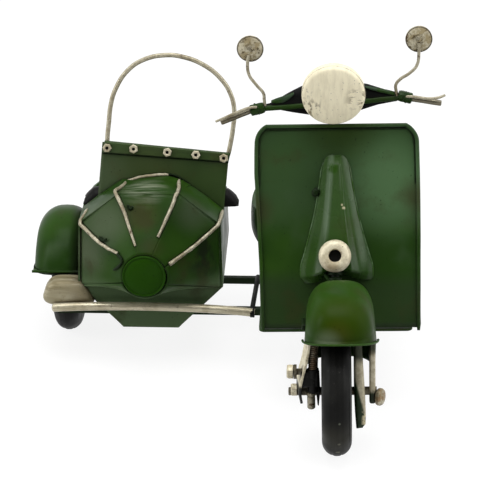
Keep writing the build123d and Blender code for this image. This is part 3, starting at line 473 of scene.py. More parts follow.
# Tint 1.55 brightens the whole lamp, painted light for a cup that tilts down, away from the top light.
LAMP_SILVER = aged_silver("lamp_silver", metallic=0.05, brush=(1.3, 0.6, 0.30), dirt=0.08, tint=1.55, rough=0.5,
                          grain=0.20, zones=(
    (streaky_spot(LAMP @ Vector((-10.5, -6.0, 0)), 1, 8, 420, (1.0, 1.0, 0.35), 0.53, 0.60),
     (0.26, 0.21, 0.12)),
    (streaky_spot(LAMP @ Vector((11.5, -1.0, 0)), 1, 8, 380, (0.4, 1.0, 1.0), 0.54, 0.60),
     (0.30, 0.24, 0.14)),
    (streaky_spot(LAMP @ Vector((-13.6, 3.0, 0)), 0.5, 4.5, 700, (1.0, 1.0, 0.5), 0.54, 0.58),
     (0.10, 0.07, 0.03)),
))
WIRE_SILVER = aged_silver("wire_silver", metallic=0.25, dirt=1.3, tint=0.74, rough=0.38)
SPRING_BROWN = aged_silver("spring_brown", metallic=0.3, dirt=1.0, tint=0.42, rough=0.4, zones=(
    (mottle(180, 3.0, 0.38, 0.60, 0, 0.8), (0.105, 0.052, 0.020)),
))
TUBE_SILVER = aged_silver("tube_silver", metallic=0.35, brush=(0.08, 1, 1), dirt=0.7, tint=1.0, rough=0.30)
GRIP_STEEL = aged_silver("grip_steel", metallic=0.75, brush=(0.1, 1, 1), dirt=1.5, tint=0.36, rough=0.34)
BOX_SILVER = aged_silver("box_silver", metallic=0.15, brush=(0.10, 0.4, 1), dirt=0.8, tint=0.78, rough=0.36, zones=(
    # Painted shade: darker brown on the box's side towards the tub.
    (lambda p: p.between(p.along((1, 0, 0), CHASSIS @ Vector((-139, 0, 0))), 0.0, 14.0, 0, 0.85),
     (0.060, 0.048, 0.022)),
    (lambda p: streaky(p, height(p, 34, 44, 1.0), 240, (0.12, 0.5, 1.0), 0.50, 0.62), (0.085, 0.060, 0.025)),
    (mottle(60, 3.0, 0.35, 0.65, 0.2, 0.7), (0.29, 0.25, 0.14)),
))
MIRROR_SILVER = aged_silver("mirror_silver", metallic=0.2, dirt=0.8, tint=0.95, rough=0.42, zones=(
    (mottle(260, 4.0, 0.44, 0.56, 0, 0.85, rough=0.65), (0.30, 0.24, 0.125)),
    (mottle(420, 4.0, 0.55, 0.62, 0, 0.9, rough=0.7), (0.085, 0.062, 0.028)),
))
RUSTY = aged_silver("rusty_wire", metallic=0.4, dirt=3.0, tint=0.26, rough=0.5)
BRASS = aged_silver("rod_brass", metallic=0.35, dirt=2.0, tint=0.50, rough=0.4)
TYRE = black_rubber("tyre_rubber", dust=0.55, rough=0.50, shade=1.0, zones=(
    (spot(tread_point(1.2, 4), 0.2, 0.8), (0.10, 0.11, 0.085)),
    (spot(tread_point(0.9, 28), 0.3, 1.0), (0.16, 0.16, 0.12)),
    (spot(tread_point(0.4, 43), 0.5, 1.5), (0.13, 0.13, 0.095)),
    # Painted highlight: a broad lighter patch on the left of the tread.
    (spot(tread_point(-1.5, 24), 2, 14, 0.5), (0.040, 0.038, 0.028)),
))
# Near black for the headset webs, painted shade for the shaded hollow inside each wing.
WING_SHADE_BLACK = black_rubber("wing_shade_black", dust=0.3, rough=0.62, shade=0.5)
BOLT_SILVER = aged_silver("bolt_silver", metallic=0.3, dirt=1.4, tint=0.80, rough=0.38, zones=(
    (mottle(330, 4.0, 0.44, 0.56, 0, 0.8), (0.22, 0.13, 0.05)),
))
PAD = black_rubber("pad_rubber", dust=0.3, rough=0.45, shade=0.85)
BLACK_IRON = black_rubber("black_iron", dust=0.4, rough=0.45, shade=0.8)
BROWN_HIDE = leathercloth("brown_hide", (0.026, 0.013, 0.007), (0.048, 0.024, 0.012))
LENS = red_glass("tail_lens")
blade_seam = SCOOTER @ Vector((7.7, -4.2, 41.8))
BLADE_PAINT = aged_silver("blade_paint", metallic=0.2, dirt=1.1, tint=0.95, zones=(
    # Painted shadow: near black towards the top, under the fender.
    (rise(45, 50.5, 0.94), SOOT_AND_SHADE_GREEN),
    (lambda p: p.between(p.along((0.965, 0, 0.262), blade_seam), 0.8, -0.4), (0.014, 0.030, 0.010)),
    (lambda p: streaky(p, p.between(p.along((1, 0, 0), blade_seam), 4.2, 5.6), 150, (1, 1, 0.6), 0.52, 0.58),
     CREAM_CHIP),
))
STAY_PAINT = aged_silver("stay_paint", metallic=0.3, dirt=1.2, tint=0.92, rough=0.36, zones=(
    # Near black at the lower end, and towards the top a painted shadow under the fender.
    (rise(33, 30, 1.0), SOOT_AND_SHADE_GREEN),
    (rise(49, 53.5, 0.92), SOOT_AND_SHADE_GREEN),
))
STRIP_PAINT = aged_silver("strip_paint", metallic=0.1, dirt=0.7, tint=1.4, rough=0.42, zones=(
    (rise(37.5, 35.5, 1.0), NEAR_BLACK),
))
NUT_SILVER = aged_silver("nut_silver", metallic=0.2, dirt=1.1, tint=1.1, rough=0.36)
HORN_SILVER = aged_silver("horn_silver", metallic=0.10, dirt=0.8, tint=1.25, rough=0.36, zones=(
    (spot(horn_low, 1, 6, 0.5), (0.22, 0.13, 0.045)),
))
HOOP_SILVER = aged_silver("hoop_silver", metallic=0.35, dirt=0.9, tint=0.78, rough=0.34)


# ================= mesh helpers =================
def settle(piece, body, slot, material, replaces=()):
    """Gives a finished object its material and body; its slot argument is not used."""
    piece.data.materials.clear()
    piece.data.materials.append(material)
    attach(piece, body)
    if replaces:
        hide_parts(*replaces)
    return piece


def solid(name, points, faces, place, look, smooth=True, bevel=0.0, bevel_steps=3, levels=0, skin=0.0,
          crease=40):
    """A mesh from points in millimetres of a frame. look = (body, slot, material, replaced nodes)."""
    mesh = bpy.data.meshes.new(name)
    mesh.from_pydata([place @ Vector(p) for p in points], [], faces)
    made = bmesh.new()
    made.from_mesh(mesh)
    bmesh.ops.remove_doubles(made, verts=made.verts, dist=0.01 * MM)
    bmesh.ops.recalc_face_normals(made, faces=made.faces)
    made.to_mesh(mesh)
    made.free()
    for polygon in mesh.polygons:
        polygon.use_smooth = smooth
    if smooth:
        mesh.set_sharp_from_angle(angle=math.radians(crease))
    piece = bpy.data.objects.new(name, mesh)
    bpy.context.scene.collection.objects.link(piece)
    if skin:
        layer = piece.modifiers.new("skin", "SOLIDIFY")
        layer.thickness = abs(skin) * MM
        layer.offset = 1 if skin > 0 else -1
    if bevel:
        soft = piece.modifiers.new("soft_edges", "BEVEL")
        soft.width = bevel * MM
        soft.segments = bevel_steps
        soft.angle_limit = math.radians(25)
        soft.harden_normals = True
    if levels:
        rounder = piece.modifiers.new("rounder", "SUBSURF")
        rounder.levels = levels
        rounder.render_levels = levels
    body, slot, material, *replaced = look
    return settle(piece, body, slot, material, replaced)


def grid(name, shape, across, along, place, look, closed=False, **options):
    """A sheet from shape(u, v), with u across and v along, both from 0 to 1."""
    points = []
    for j in range(along + 1):
        for i in range(across + (0 if closed else 1)):
            points.append(shape(i / across, j / along))
    row = across if closed else across + 1
    faces = []
    for j in range(along):
        for i in range(across):
            n = (i + 1) % row
            faces.append((j * row + i, j * row + n, (j + 1) * row + n, (j + 1) * row + i))
    return solid(name, points, faces, place, look, **options)


def lathe(name, profile, place, look, steps=48, wobble=0.0, **options):
    """A solid of revolution about the frame's Z, from (radius, height) pairs."""
    def shape(u, v):
        index = round(v * (len(profile) - 1))
        radius, height = profile[index]
        angle = 2 * math.pi * u
        grow = 1 + wobble * noise.noise(Vector((math.cos(angle), math.sin(angle), 0.3)) * 1.3)
        return (radius * grow * math.cos(angle), radius * grow * math.sin(angle), height)
    return grid(name, shape, steps, len(profile) - 1, place, look, closed=True, **options)


def wire(name, points, radius, place, look, smooth=True, closed=False, radii=None, caps=True):
    """A round wire through points, with an optional share of the radius at each point."""
    data = bpy.data.curves.new(name, "CURVE")
    data.dimensions = "3D"
    data.bevel_depth = radius * MM
    data.bevel_resolution = 5
    data.resolution_u = 10
    data.use_fill_caps = caps
    spline = data.splines.new("BEZIER" if smooth else "POLY")
    chain = spline.bezier_points if smooth else spline.points
    chain.add(len(points) - 1)
    for index, point in enumerate(points):
        where = place @ Vector(point)
        if smooth:
            chain[index].co = where
            chain[index].handle_left_type = "AUTO"
            chain[index].handle_right_type = "AUTO"
        else:
            chain[index].co = (*where, 1)
        chain[index].radius = radii[index] if radii else 1.0
    spline.use_cyclic_u = closed
    piece = bpy.data.objects.new(name, data)
    bpy.context.scene.collection.objects.link(piece)
    body, slot, material, *replaced = look
    return settle(piece, body, slot, material, replaced)


def hex_nut(name, across, height, hole, place, look):
    """A chamfered hexagon nut on the frame's XY plane, rising along Z."""
    rings = ((hole, 0.0), (across, 0.0), (across, 0.78 * height), (0.88 * across, height),
             (hole + 0.25, height), (hole, 0.86 * height), (hole, 0.0))
    points = []
    faces = []
    sides = 24
    for radius, z in rings:
        for i in range(sides):
            angle = 2 * math.pi * i / sides
            flat = math.cos(math.pi / 6) / math.cos((angle % (math.pi / 3)) - math.pi / 6)
            keep = radius if radius <= hole + 0.3 else radius * flat
            points.append((keep * math.cos(angle), keep * math.sin(angle), z))
    for k in range(len(rings) - 1):
        for i in range(sides):
            n = (i + 1) % sides
            faces.append((k * sides + i, k * sides + n, (k + 1) * sides + n, (k + 1) * sides + i))
    return solid(name, points, faces, place, look, crease=25)


def block(name, low, high, place, look, bevel=0.6, levels=0, **options):
    (x0, y0, z0), (x1, y1, z1) = low, high
    points = [(x, y, z) for x in (x0, x1) for y in (y0, y1) for z in (z0, z1)]
    faces = ((0, 1, 3, 2), (4, 6, 7, 5), (0, 4, 5, 1), (2, 3, 7, 6), (0, 2, 6, 4), (1, 5, 7, 3))
    return solid(name, points, faces, place, look, bevel=bevel, levels=levels, **options)


def ease(table, value):
    """Straight-line reading of a table of (value, result) pairs, whose values rise."""
    if value <= table[0][0]:
        return table[0][1]
    for (a, low), (b, high) in zip(table, table[1:]):
        if value <= b:
            t = (value - a) / (b - a)
            return low + (high - low) * t
    return table[-1][1]


def pole(frame_of, start, direction):
    """A frame at a point whose Z runs along a direction."""
    z = Vector(direction).normalized()
    helper = Vector((0, 1, 0)) if abs(z.y) < 0.9 else Vector((0, 0, 1))
    x = helper.cross(z).normalized()
    y = z.cross(x)
    return frame_of @ Matrix.Translation(start) @ Matrix((x, y, z)).transposed().to_4x4()


def in_steering(slot, material, *nodes):
    return ("steering", slot, material, *nodes)


def in_chassis(slot, material, *nodes):
    return ("chassis", slot, material, *nodes)


def steering_green(material, *nodes):
    return in_steering("green_paint", material, *nodes)


def chassis_green(material, *nodes):
    return in_chassis("green_paint", material, *nodes)


def steering_silver(material, *nodes):
    return in_steering("aged_silver", material, *nodes)


def chassis_silver(material, *nodes):
    return in_chassis("aged_silver", material, *nodes)


def signed_power(value, power):
    """A sine or cosine raised to a power with its sign kept, which squares off a round outline."""
    return math.copysign(abs(value) ** power, value)


def between_rows(rows, v):
    """The row of numbers at v, from 0 at a table's first row to 1 at its last."""
    index = v * (len(rows) - 1)
    first = min(int(index), len(rows) - 2)
    share = index - first
    return [a * (1 - share) + b * share for a, b in zip(rows[first], rows[first + 1])]


def prism(name, outline, y_range, place, look, bevel):
    """An outline of (x, z) points carried from one depth to another."""
    count = len(outline)
    points = [(x, y, z) for y in y_range for x, z in outline]
    faces = [tuple(range(count)), tuple(range(2 * count - 1, count - 1, -1))]
    faces += [(i, (i + 1) % count, (i + 1) % count + count, i + count) for i in range(count)]
    return solid(name, points, faces, place, look, bevel=bevel)


# ================= leg shield =================
SHIELD_EDGE = {
    # reach of each side from the scooter's middle at a height up the sheet
    -1: ((0, 35.9), (33, 36.5), (52, 37.4), (75, 38.4), (99, 38.1)),
    1: ((0, 40.8), (33, 41.2), (75, 41.2), (99, 40.6)),
}
SHIELD_TOP = 99.0
SHIELD_FOOT = 0.9
SHIELD_CORNER = {-1: 9.0, 1: 8.5}
BEAD_RADIUS = 1.0


def shield_half(s, side):
    """Half width of the sheet s up from its foot, with the rounded top corners."""
    corner = SHIELD_CORNER[side]
    full = ease(SHIELD_EDGE[side], s)
    over = s - (SHIELD_TOP - corner)
    if over <= 0:
        return full
    bend = 2.0 if side < 0 else 1.75
    return full - corner + corner * max(0.0, 1 - (over / corner) ** bend) ** (1 / bend)


def shield_relief(x, s):
    """How far the beaten sheet stands off its plane."""
    hollow = -0.55 + 0.5 * ease(((20, 1.0), (34, 0.0), (60, 0.15), (99, 0.4)), s)
    dents = noise.noise(Vector((x * 0.045, s * 0.05, 1.7)))
    return max(-0.95, hollow + 0.28 * dents)


def leg_shield():
    inset = 0.9

    def sheet(u, v):
        s = SHIELD_FOOT + (SHIELD_TOP - inset - SHIELD_FOOT) * v ** 0.8
        side = -1 if u < 0.5 else 1
        x = (2 * u - 1) * (shield_half(s, side) - inset)
        return (x, s, shield_relief(x, s))

    grid("leg_shield_sheet", sheet, 64, 80, SHIELD,
         chassis_green(SHIELD_GREEN, "leg_shield"), skin=-0.6)
    edge = []
    radii = []
    for side, rows in ((-1, range(0, 49)), (1, range(48, -1, -1))):
        for row in rows:
            s = -0.5 + (SHIELD_TOP - BEAD_RADIUS + 0.5) * math.sin(math.pi / 2 * row / 48)
            wave = 0.3 * noise.noise(Vector((side * 3.1, s * 0.06, 0.4)))
            edge.append((side * (shield_half(s, side) - BEAD_RADIUS + min(0.0, wave)), s, 0.1 + wave * 0.4))
            radii.append(ease(((0.0, 0.7), (0.5, 1.15), (3.0, 1.1), (6.0, 1.0)), s + 0.5))
    wire("leg_shield_bead", edge, BEAD_RADIUS, SHIELD, chassis_green(SHIELD_GREEN),
         smooth=False, radii=radii)
    gap = [(side * (shield_half(s, side) - 2.35), s, 0.0) for side, rows in ((-1, (70, 80, 88, 93, 95.6, 96.4)),
           (1, (96.4, 95.6, 93, 88, 80, 70))) for s in rows]
    wire("leg_shield_hem", gap, 0.35, SHIELD, chassis_green(DARK_GREEN_AND_SHADOW), smooth=False)


NECK_LOW, NECK_HIGH = 125.2, 140.8


def steering_column():
    """The column in two full lengths, with a thin bent neck between them.

    The solid is full all along and passes an opening in the leg shield. The sheet here has no opening, so
    from NECK_LOW to NECK_HIGH the neck runs behind it, and the solid's form isn't kept there.
    """
    reach = (66.6, NECK_LOW, NECK_HIGH, 147.0)
    lengths = [(z - reach[0]) / STEER_UP.z for z in reach]
    hold = pole(SCOOTER, on_steer_axis(reach[0]), STEER_UP)
    lower = ((0.0, 0.0), (2.0, 0.0), (2.0, lengths[1] - 1.0), (0.45, lengths[1]), (0.0, lengths[1]))
    upper = ((0.0, lengths[2]), (0.45, lengths[2]), (2.0, lengths[2] + 1.0), (2.0, lengths[3]), (0.0, lengths[3]))
    lathe("steering_column_lower", lower, hold, steering_green(DARK_GREEN_AND_SHADOW, "steering_column"), steps=24)
    lathe("steering_column_upper", upper, hold, steering_green(DARK_GREEN_AND_SHADOW), steps=24)
    to_scooter = SCOOTER.inverted() @ SHIELD
    neck = [on_steer_axis(NECK_LOW - 1.0)] + [to_scooter @ Vector(p) for p in ((0, 82.4, -1.2), (0, 88, -2.4))]
    wire("steering_column_neck", neck + [on_steer_axis(NECK_HIGH + 1.0)], 0.45, SCOOTER,
         steering_green(DARK_GREEN_AND_SHADOW))

    def channel(u, v):
        s = 80.0 + 18.6 * v
        angle = math.pi * u
        deep = 3.0 + 3.2 * v
        return (4.0 * math.cos(angle), s, -1.0 - deep * math.sin(angle))

    grid("column_channel", channel, 16, 8, SHIELD, chassis_green(GREEN), skin=0.6)


# ================= horn cover =================
COVER_WIDTHS = ((22.5, 15.2), (25.5, 17.5), (31, 17.0), (44, 13.3), (56, 10.2), (70, 7.8), (78, 6.6), (82, 5.3),
                (83.6, 3.8), (84.3, 1.6))
COVER_SHIFT = 0.8


def cover_height(s):
    return 4.5 + (84 - s) * 0.122


def horn_cover():
    top = 84.2

    def shell(u, v):
        t = 2 * u - 1
        along = 0.5 - 0.5 * math.cos(math.pi * v)
        foot = 22.4 + 5.0 * math.exp(-((t + 0.05) / 0.42) ** 2) + 1.7 * min(1.0, max(0.0, t * 2.0))
        s = foot + (top - foot) * along
        half = ease(COVER_WIDTHS, s)
        table = ((0.0, 1.0), (0.40, 1.0), (0.62, 0.74), (0.86, 0.24), (0.94, 0.13), (1.0, 0.05))
        crown = ease(table, abs(t))
        ends = min(1.0, (1 - along) * 12) ** 0.5 * min(1.0, 0.30 + along * 12)
        share = ease(((38, 0.0), (50, 1.0), (78, 1.0), (83, 0)), s)
        ridge = 0.55 * math.exp(-((abs(t) - 0.36) / 0.12) ** 2) * share
        beaten = 0.18 * noise.noise(Vector((t * 2.5, s * 0.09, 5.0)))
        lift = cover_height(s) * crown * ends * 0.97 + (ridge + beaten * crown) * ends
        return (COVER_SHIFT + half * t, s, max(0.12, lift))

    grid("horn_cover_shell", shell, 64, 80, SHIELD, chassis_green(COVER_GREEN, "horn_cover"), crease=60)
    for side in (-1, 1):
        hem = [(COVER_SHIFT + side * (ease(COVER_WIDTHS, s) + 0.1), s, 0.25)
               for s in (25.2, 28, 31, 36, 42, 48, 54, 60, 66, 72, 77, 80.5)]
        wire(f"horn_cover_hem_{'left' if side < 0 else 'right'}", hem, 0.42, SHIELD,
             chassis_green(HEM_WEAR_AND_HIGHLIGHT), radii=[0.5] + [1.0] * 10 + [0.5])
    lathe("horn_cover_boss", ((0.0, 1.6), (1.4, 1.5), (2.3, 0.9), (2.9, 0.0)),
          SHIELD @ moved(-0.7, 77.5, 3.6), chassis_green(COVER_GREEN), steps=24, wobble=0.1)
    lathe("cover_bolt", ((0.0, 1.9), (1.2, 1.8), (1.7, 1.2), (1.7, 0.3), (2.3, 0.0)),
          SHIELD @ moved(-8.6, 66.0, 0.2), chassis_green(DARK_GREEN_AND_SHADOW), steps=7, wobble=0.2, crease=20)
    stem = [(-5.4, 29.6, 4.6), (-4.6, 27.4, 6.2), (-2.9, 25.0, 6.6), (-2.0, 22.6, 6.2)]
    wire("cover_stem", stem, 1.25, SHIELD, chassis_green(GREEN), radii=(0.8, 1.1, 1.0, 1.2))


def horn():
    profile = ((3.0, 0.0), (3.0, 2.5), (3.3, 3.1), (4.3, 3.4), (5.6, 3.25), (6.7, 2.7), (7.45, 1.8), (7.75, 0.9),
               (7.8, 0.0))
    lathe("horn_dome", profile, HORN, chassis_silver(HORN_SILVER, "horn_ring"), wobble=0.02)
    lathe("horn_throat", ((0.0, -0.15), (3.05, -0.15), (3.05, 0.1)), HORN,
          in_chassis("tyre", BLACK_IRON), steps=24)


# ================= handlebar, headlamp, mirrors =================
def headlamp():
    profile = [(0.0, 0.55), (4.0, 0.5), (8.0, 0.3), (11.5, -0.05), (13.6, -0.45), (14.3, -0.75), (14.75, -1.2),
               (14.95, -1.7), (15.0, -2.6), (14.85, -2.75), (15.0, -2.95), (14.95, -6.1), (14.3, -6.8), (12.0, -7.0)]
    lathe("headlamp_cup", profile, LAMP, steering_silver(LAMP_SILVER, "headlamp"), steps=72, crease=50,
          wobble=0.012)
    rim = [(15.0 * math.cos(a), 15.0 * math.sin(a), -2.85 + 0.3 * math.sin(3 * a))
           for a in [2 * math.pi * i / 48 for i in range(48)]]
    wire("headlamp_seam", rim, 0.12, LAMP, steering_silver(WIRE_SILVER), closed=True)


WING_LINES = {
    # top and low edge of each wing as (reach from the bar's middle, height above the bar)
    -1: (((8, 9.6), (13.6, 8.7), (19.9, 6.2), (28.3, 2.2), (31.6, 1.7)),
         ((8, -6.0), (11.1, -5.7), (18.6, -3.7), (25.5, -1.5), (31.6, -1.5))),
    1: (((8, 9.2), (17.9, 7.6), (24.0, 5.4), (30.6, 3.2), (31.6, 2.6)),
        ((8, -6.0), (13.8, -5.2), (22.4, -2.7), (31.1, -1.3), (31.6, -1.3))),
}
FLAPS = {
    # (reach, lower edge, upper edge) of the folded strip on top of each wing
    -1: ((28.6, 2.9, 3.9), (26.0, 2.4, 4.8), (23.0, 2.5, 5.6), (20.5, 3.6, 6.2), (17.5, 5.9, 7.2)),
    1: ((30.8, 2.0, 3.9), (28.0, 2.9, 4.9), (24.0, 4.2, 6.0), (20.0, 5.7, 7.2), (17.0, 7.0, 7.9)),
}


def headset():
    def pod(u, v):
        angle = 2 * math.pi * u
        radius = ease(((0, 13.7), (0.4, 12.6), (0.8, 9.0), (1.0, 6.5)), v)
        return (radius * math.cos(angle), radius * math.sin(angle) - 9.0 * v, -6.9 - 15.0 * v)

    grid("headset_pod", pod, 40, 10, LAMP, steering_green(DARK_GREEN_AND_SHADOW, "headset_cowl"), closed=True)
    lathe("headset_pod_end", ((6.5, 0.0), (5.0, 0.6), (0.0, 0.9)), LAMP @ moved(0, -9.0, -21.9) @ turned(math.pi, "X"),
          steering_green(DARK_GREEN_AND_SHADOW), steps=32)
    for side, (top_line, low_line) in WING_LINES.items():
        end = "left" if side < 0 else "right"

        def wing(u, v, side=side, top_line=top_line, low_line=low_line):
            reach = 8.0 + 23.6 * v
            top, low = ease(top_line, reach), ease(low_line, reach)
            deep = ease(((8, 4.9), (20, 3.4), (31.6, 1.7)), reach)
            angle = 2 * math.pi * u
            c, s = math.cos(angle), math.sin(angle)
            y = deep - 0.5 + deep * signed_power(c, 0.8)
            z = (top + low) / 2 + (top - low) / 2 * signed_power(s, 0.9)
            return (side * reach, y, z)

        # The webs are near black: painted shade for the hollow inside each wing.
        grid(f"headset_web_{end}", wing, 28, 24, BAR, in_steering("tyre", WING_SHADE_BLACK), closed=True, crease=60)
        rows = FLAPS[side]

        def flap(u, v, side=side, rows=rows):
            reach, low, high = between_rows(rows, v)
            curl = math.sin(math.pi * u)
            return (side * reach, -0.7 - 0.6 * curl + 0.9 * u, low + (high - low) * u)

        grid(f"headset_flap_{end}", flap, 8, 20, BAR, steering_green(FLAP_GREEN), skin=-0.6, bevel=0.2)


GRIP_DROOP = {-1: math.radians(18.0), 1: math.radians(13.4)}
GRIP_REACH = {-1: 18.3, 1: 17.0}
COLLAR_DROOP = {-1: math.radians(10.0), 1: math.radians(19.0)}


def handlebar():
    bar_line = [(-36.0, 0, 0.2), (-24.0, 0, 0.2), (-20.0, 0, 0.2), (20.0, 0, 0.3), (24.0, 0, 0.6), (36.0, 0, 0.7)]
    wire("bar_tube", bar_line, 1.4, BAR, steering_green(BAR_GREEN, "handlebar"), smooth=False)
    collar_profile = ((0.0, 2.7), (2.2, 2.8), (2.7, 2.5), (2.8, 1.8), (2.72, 1.1), (2.85, 0.4), (2.75, -0.9),
                      (2.85, -2.0), (2.7, -3.2), (2.4, -4.1), (1.5, -4.2))
    for side, node in ((-1, "bar_collars"), (1, None)):
        end = "left" if side < 0 else "right"
        lift = 0.3 if side < 0 else 0.7
        tilt = COLLAR_DROOP[side]
        hold = pole(BAR, (side * 36.2, 0, lift - 0.2), (side * math.cos(tilt), 0, -math.sin(tilt)))
        look = steering_green(BAR_GREEN, node) if node else steering_green(BAR_GREEN)
        lathe(f"bar_collar_{end}", collar_profile, hold, look, steps=9, wobble=0.06, crease=25)
        seam = [(2.8 * math.cos(a), 2.8 * math.sin(a), 0.2 - 0.35 * a) for a in [0.4 * i for i in range(14)]]
        wire(f"collar_seam_{end}", seam, 0.25, hold, steering_green(BAR_GREEN))
    for side, node in ((-1, "grips"), (1, None)):
        end = "left" if side < 0 else "right"
        droop, reach = GRIP_DROOP[side], GRIP_REACH[side]
        mouth = pole(BAR, (side * 36.2, 0, 0.3), (side * math.cos(droop), 0, -math.sin(droop)))
        profile = ((0.0, 0.0), (1.3, 0.0), (1.38, 3.0), (1.34, 8.0), (1.42, 13.0), (1.4, reach - 0.4),
                   (1.2, reach), (0.8, reach + 0.05), (0.75, reach - 1.2), (0.0, reach - 1.2))
        look = in_steering("bare_steel", GRIP_STEEL, node) if node else in_steering("bare_steel", GRIP_STEEL)
        lathe(f"bar_grip_{end}", profile, mouth, look, steps=24)


LEVERS = {
    # (x, out to the front, height) in the bar's frame
    "left": ((-35.6, -1.8, 1.6), (-38.4, -2.5, 1.9), (-45.7, -2.5, -0.2), (-52.7, -2.5, -2.8), (-56.0, -2.5, -3.9)),
    "right": ((35.6, -1.8, 1.6), (38.7, -2.4, 1.5), (48.4, -2.4, -0.2), (52.1, -2.4, 0.2), (54.8, -2.4, 1.1)),
}


def levers():
    for end, points in LEVERS.items():
        look = steering_silver(WIRE_SILVER, *(("levers",) if end == "left" else ()))
        wire(f"lever_{end}", points, 0.72, BAR, look, radii=(0.9, 1, 1, 0.95, 0.8))


MIRROR_STEMS = {
    "mirror_left": ((-31.8, 1.6), (-31.8, 4.6), (-31.9, 7.8), (-35.0, 12.5), (-38.0, 17.9), (-38.2, 23.8),
                    (-37.4, 27.6)),
    "mirror_right": ((31.9, 1.6), (31.5, 4.6), (31.6, 7.4), (33.6, 9.9), (38.4, 12.8), (42.0, 16.3), (43.5, 23.4),
                     (43.7, 27.4)),
}
MIRROR_MIDDLE = {"mirror_left": (-36.4, 30.3), "mirror_right": (43.9, 28.9)}


def mirrors():
    disc = ((0.0, 1.15), (0.9, 1.1), (1.3, 0.75), (2.6, 0.72), (3.0, 0.95), (3.4, 0.72), (5.2, 0.35), (6.1, -0.15),
            (6.45, -0.7), (6.3, -1.1), (5.4, -1.25), (0.0, -1.3))
    for node, stem in MIRROR_STEMS.items():
        points = [(x, -0.2 * index, z) for index, (x, z) in enumerate(stem)]
        wire(node + "_stem", points, 0.78, BAR, steering_silver(WIRE_SILVER, node))
        out, up = MIRROR_MIDDLE[node]
        face = BAR @ plane((out, 0, up), (0, 0, 1), (0, -1, 0))
        lathe(node + "_disc", disc, face, steering_silver(MIRROR_SILVER), steps=40, wobble=0.025)
        lathe(node + "_rivet", ((0.0, 0.9), (0.8, 0.7), (1.3, 0.0)), face @ moved(-0.5, 0.8, 0.85),
              steering_silver(BRASS), steps=16)
        ring = [(6.1 * math.cos(a), 6.1 * math.sin(a), -0.2) for a in [2 * math.pi * i / 40 for i in range(40)]]
        wire(node + "_ring", ring, 0.28, face, steering_silver(RUSTY), closed=True)


# ================= front fender and suspension =================
FENDER_RIM = ((-35, 68.6), (-26, 65.8), (-14, 61.8), (-1.5, 57.2), (3.5, 55.0), (6, 45.0), (9, 40.2), (14, 38.3),
              (32, 38.0))
FENDER_TOP = 83.5
FENDER_SHIFT = 2.0


def fender_outline(angle, half_x, half_y):
    c, s = math.cos(angle), math.sin(angle)
    power = 2 / 3.1
    return (FENDER_SHIFT + half_x * signed_power(c, power),
            -1.5 + half_y * signed_power(s, power))


def front_fender():
    shoulder = FENDER_TOP - 16.5

    def helmet(u, v):
        x, y = fender_outline(2 * math.pi * u, 16.7, 24.3)
        rim_z = ease(FENDER_RIM, y)
        if v < 0.35:
            z = rim_z + (shoulder - rim_z) * (v / 0.35)
            draw_in = 1.0 - 0.05 * (v / 0.35)
        else:
            t = (v - 0.35) / 0.65 * math.pi / 2
            z = shoulder + 16.4 * math.sin(t) ** 0.92
            draw_in = 0.95 * math.cos(t) ** 0.66
        beaten = 0.25 * noise.noise(Vector((x * 0.07, y * 0.07, z * 0.07)))
        side = x - FENDER_SHIFT
        return (FENDER_SHIFT + side * draw_in + beaten * draw_in, -1.5 + (y + 1.5) * draw_in, z)

    grid("front_fender_shell", helmet, 72, 44, SCOOTER, steering_green(FENDER_GREEN, "front_fender"),
         closed=True, skin=-0.7, crease=50)
    lip = []
    for step in range(49):
        angle = math.radians(181 + 178 * step / 48)
        x, y = fender_outline(angle, 17.5, 24.9)
        lip.append((x, y, ease(FENDER_RIM, y) + 0.3))
    wire("front_fender_lip", lip, 0.5, SCOOTER, steering_green(LIP_GREEN),
         radii=[1.25] + [1.0] * 47 + [1.25])


BLADE_ROWS = ((63.4, 8.6, 12.0, 3.8), (56.0, 8.1, 12.1, 4.1), (44.0, 8.1, 12.6, 4.1), (30.0, 8.2, 13.4, 4.1),
              (20.0, 8.6, 13.8, 4.0), (14.2, 9.0, 13.7, 3.6), (12.6, 9.2, 12.4, 3.2))


def fork():
    def blade(u, v):
        z, inner, outer, deep = between_rows(BLADE_ROWS, v)
        angle = 2 * math.pi * u
        c, s = math.cos(angle), math.sin(angle)
        x = (inner + outer) / 2 + (outer - inner) / 2 * signed_power(c, 0.5)
        return (x, deep * signed_power(s, 0.45), z - 0.25 * max(0.0, 11 - x) * (v > 0.9))

    grid("fork_blade", blade, 32, 36, SCOOTER, steering_green(BLADE_PAINT, "fork"), closed=True, crease=70)
    foot_z, inner, outer, deep = BLADE_ROWS[-1]
    foot = [(inner, -deep, foot_z - 0.4), (outer, -deep, foot_z), (outer, deep, foot_z), (inner, deep, foot_z - 0.4)]
    solid("fork_blade_foot", foot + [(x, y, z + 0.8) for x, y, z in foot],
          ((3, 2, 1, 0), (4, 5, 6, 7), (0, 1, 5, 4), (1, 2, 6, 5), (2, 3, 7, 6), (3, 0, 4, 7)), SCOOTER,
          steering_green(BLADE_PAINT), bevel=0.3)
    block("fork_crown", (-15.9, -4.4, 63.5), (17.3, 4.4, 66.5), SCOOTER,
          steering_green(DARK_GREEN_AND_SHADOW), bevel=0.8)
    arm_end = on_steer_axis(68.0)
    block("fork_crown_arm", (-3.9, 0.5, 63.5), (3.9, arm_end.y, 67.9), SCOOTER,
          steering_green(DARK_GREEN_AND_SHADOW), bevel=0.8)
    low = on_steer_axis(65.0)
    lathe("fork_stem", ((3.3, 0.0), (3.3, 9.0), (2.6, 9.6), (0.0, 9.6)), pole(SCOOTER, low, STEER_UP),
          steering_green(DARK_GREEN_AND_SHADOW), steps=28)
    block("stay_strip", (15.4, -2.5, 24.6), (18.3, 2.5, 63.4), SCOOTER,
          steering_silver(STAY_PAINT, "fender_stay"), bevel=1.0)


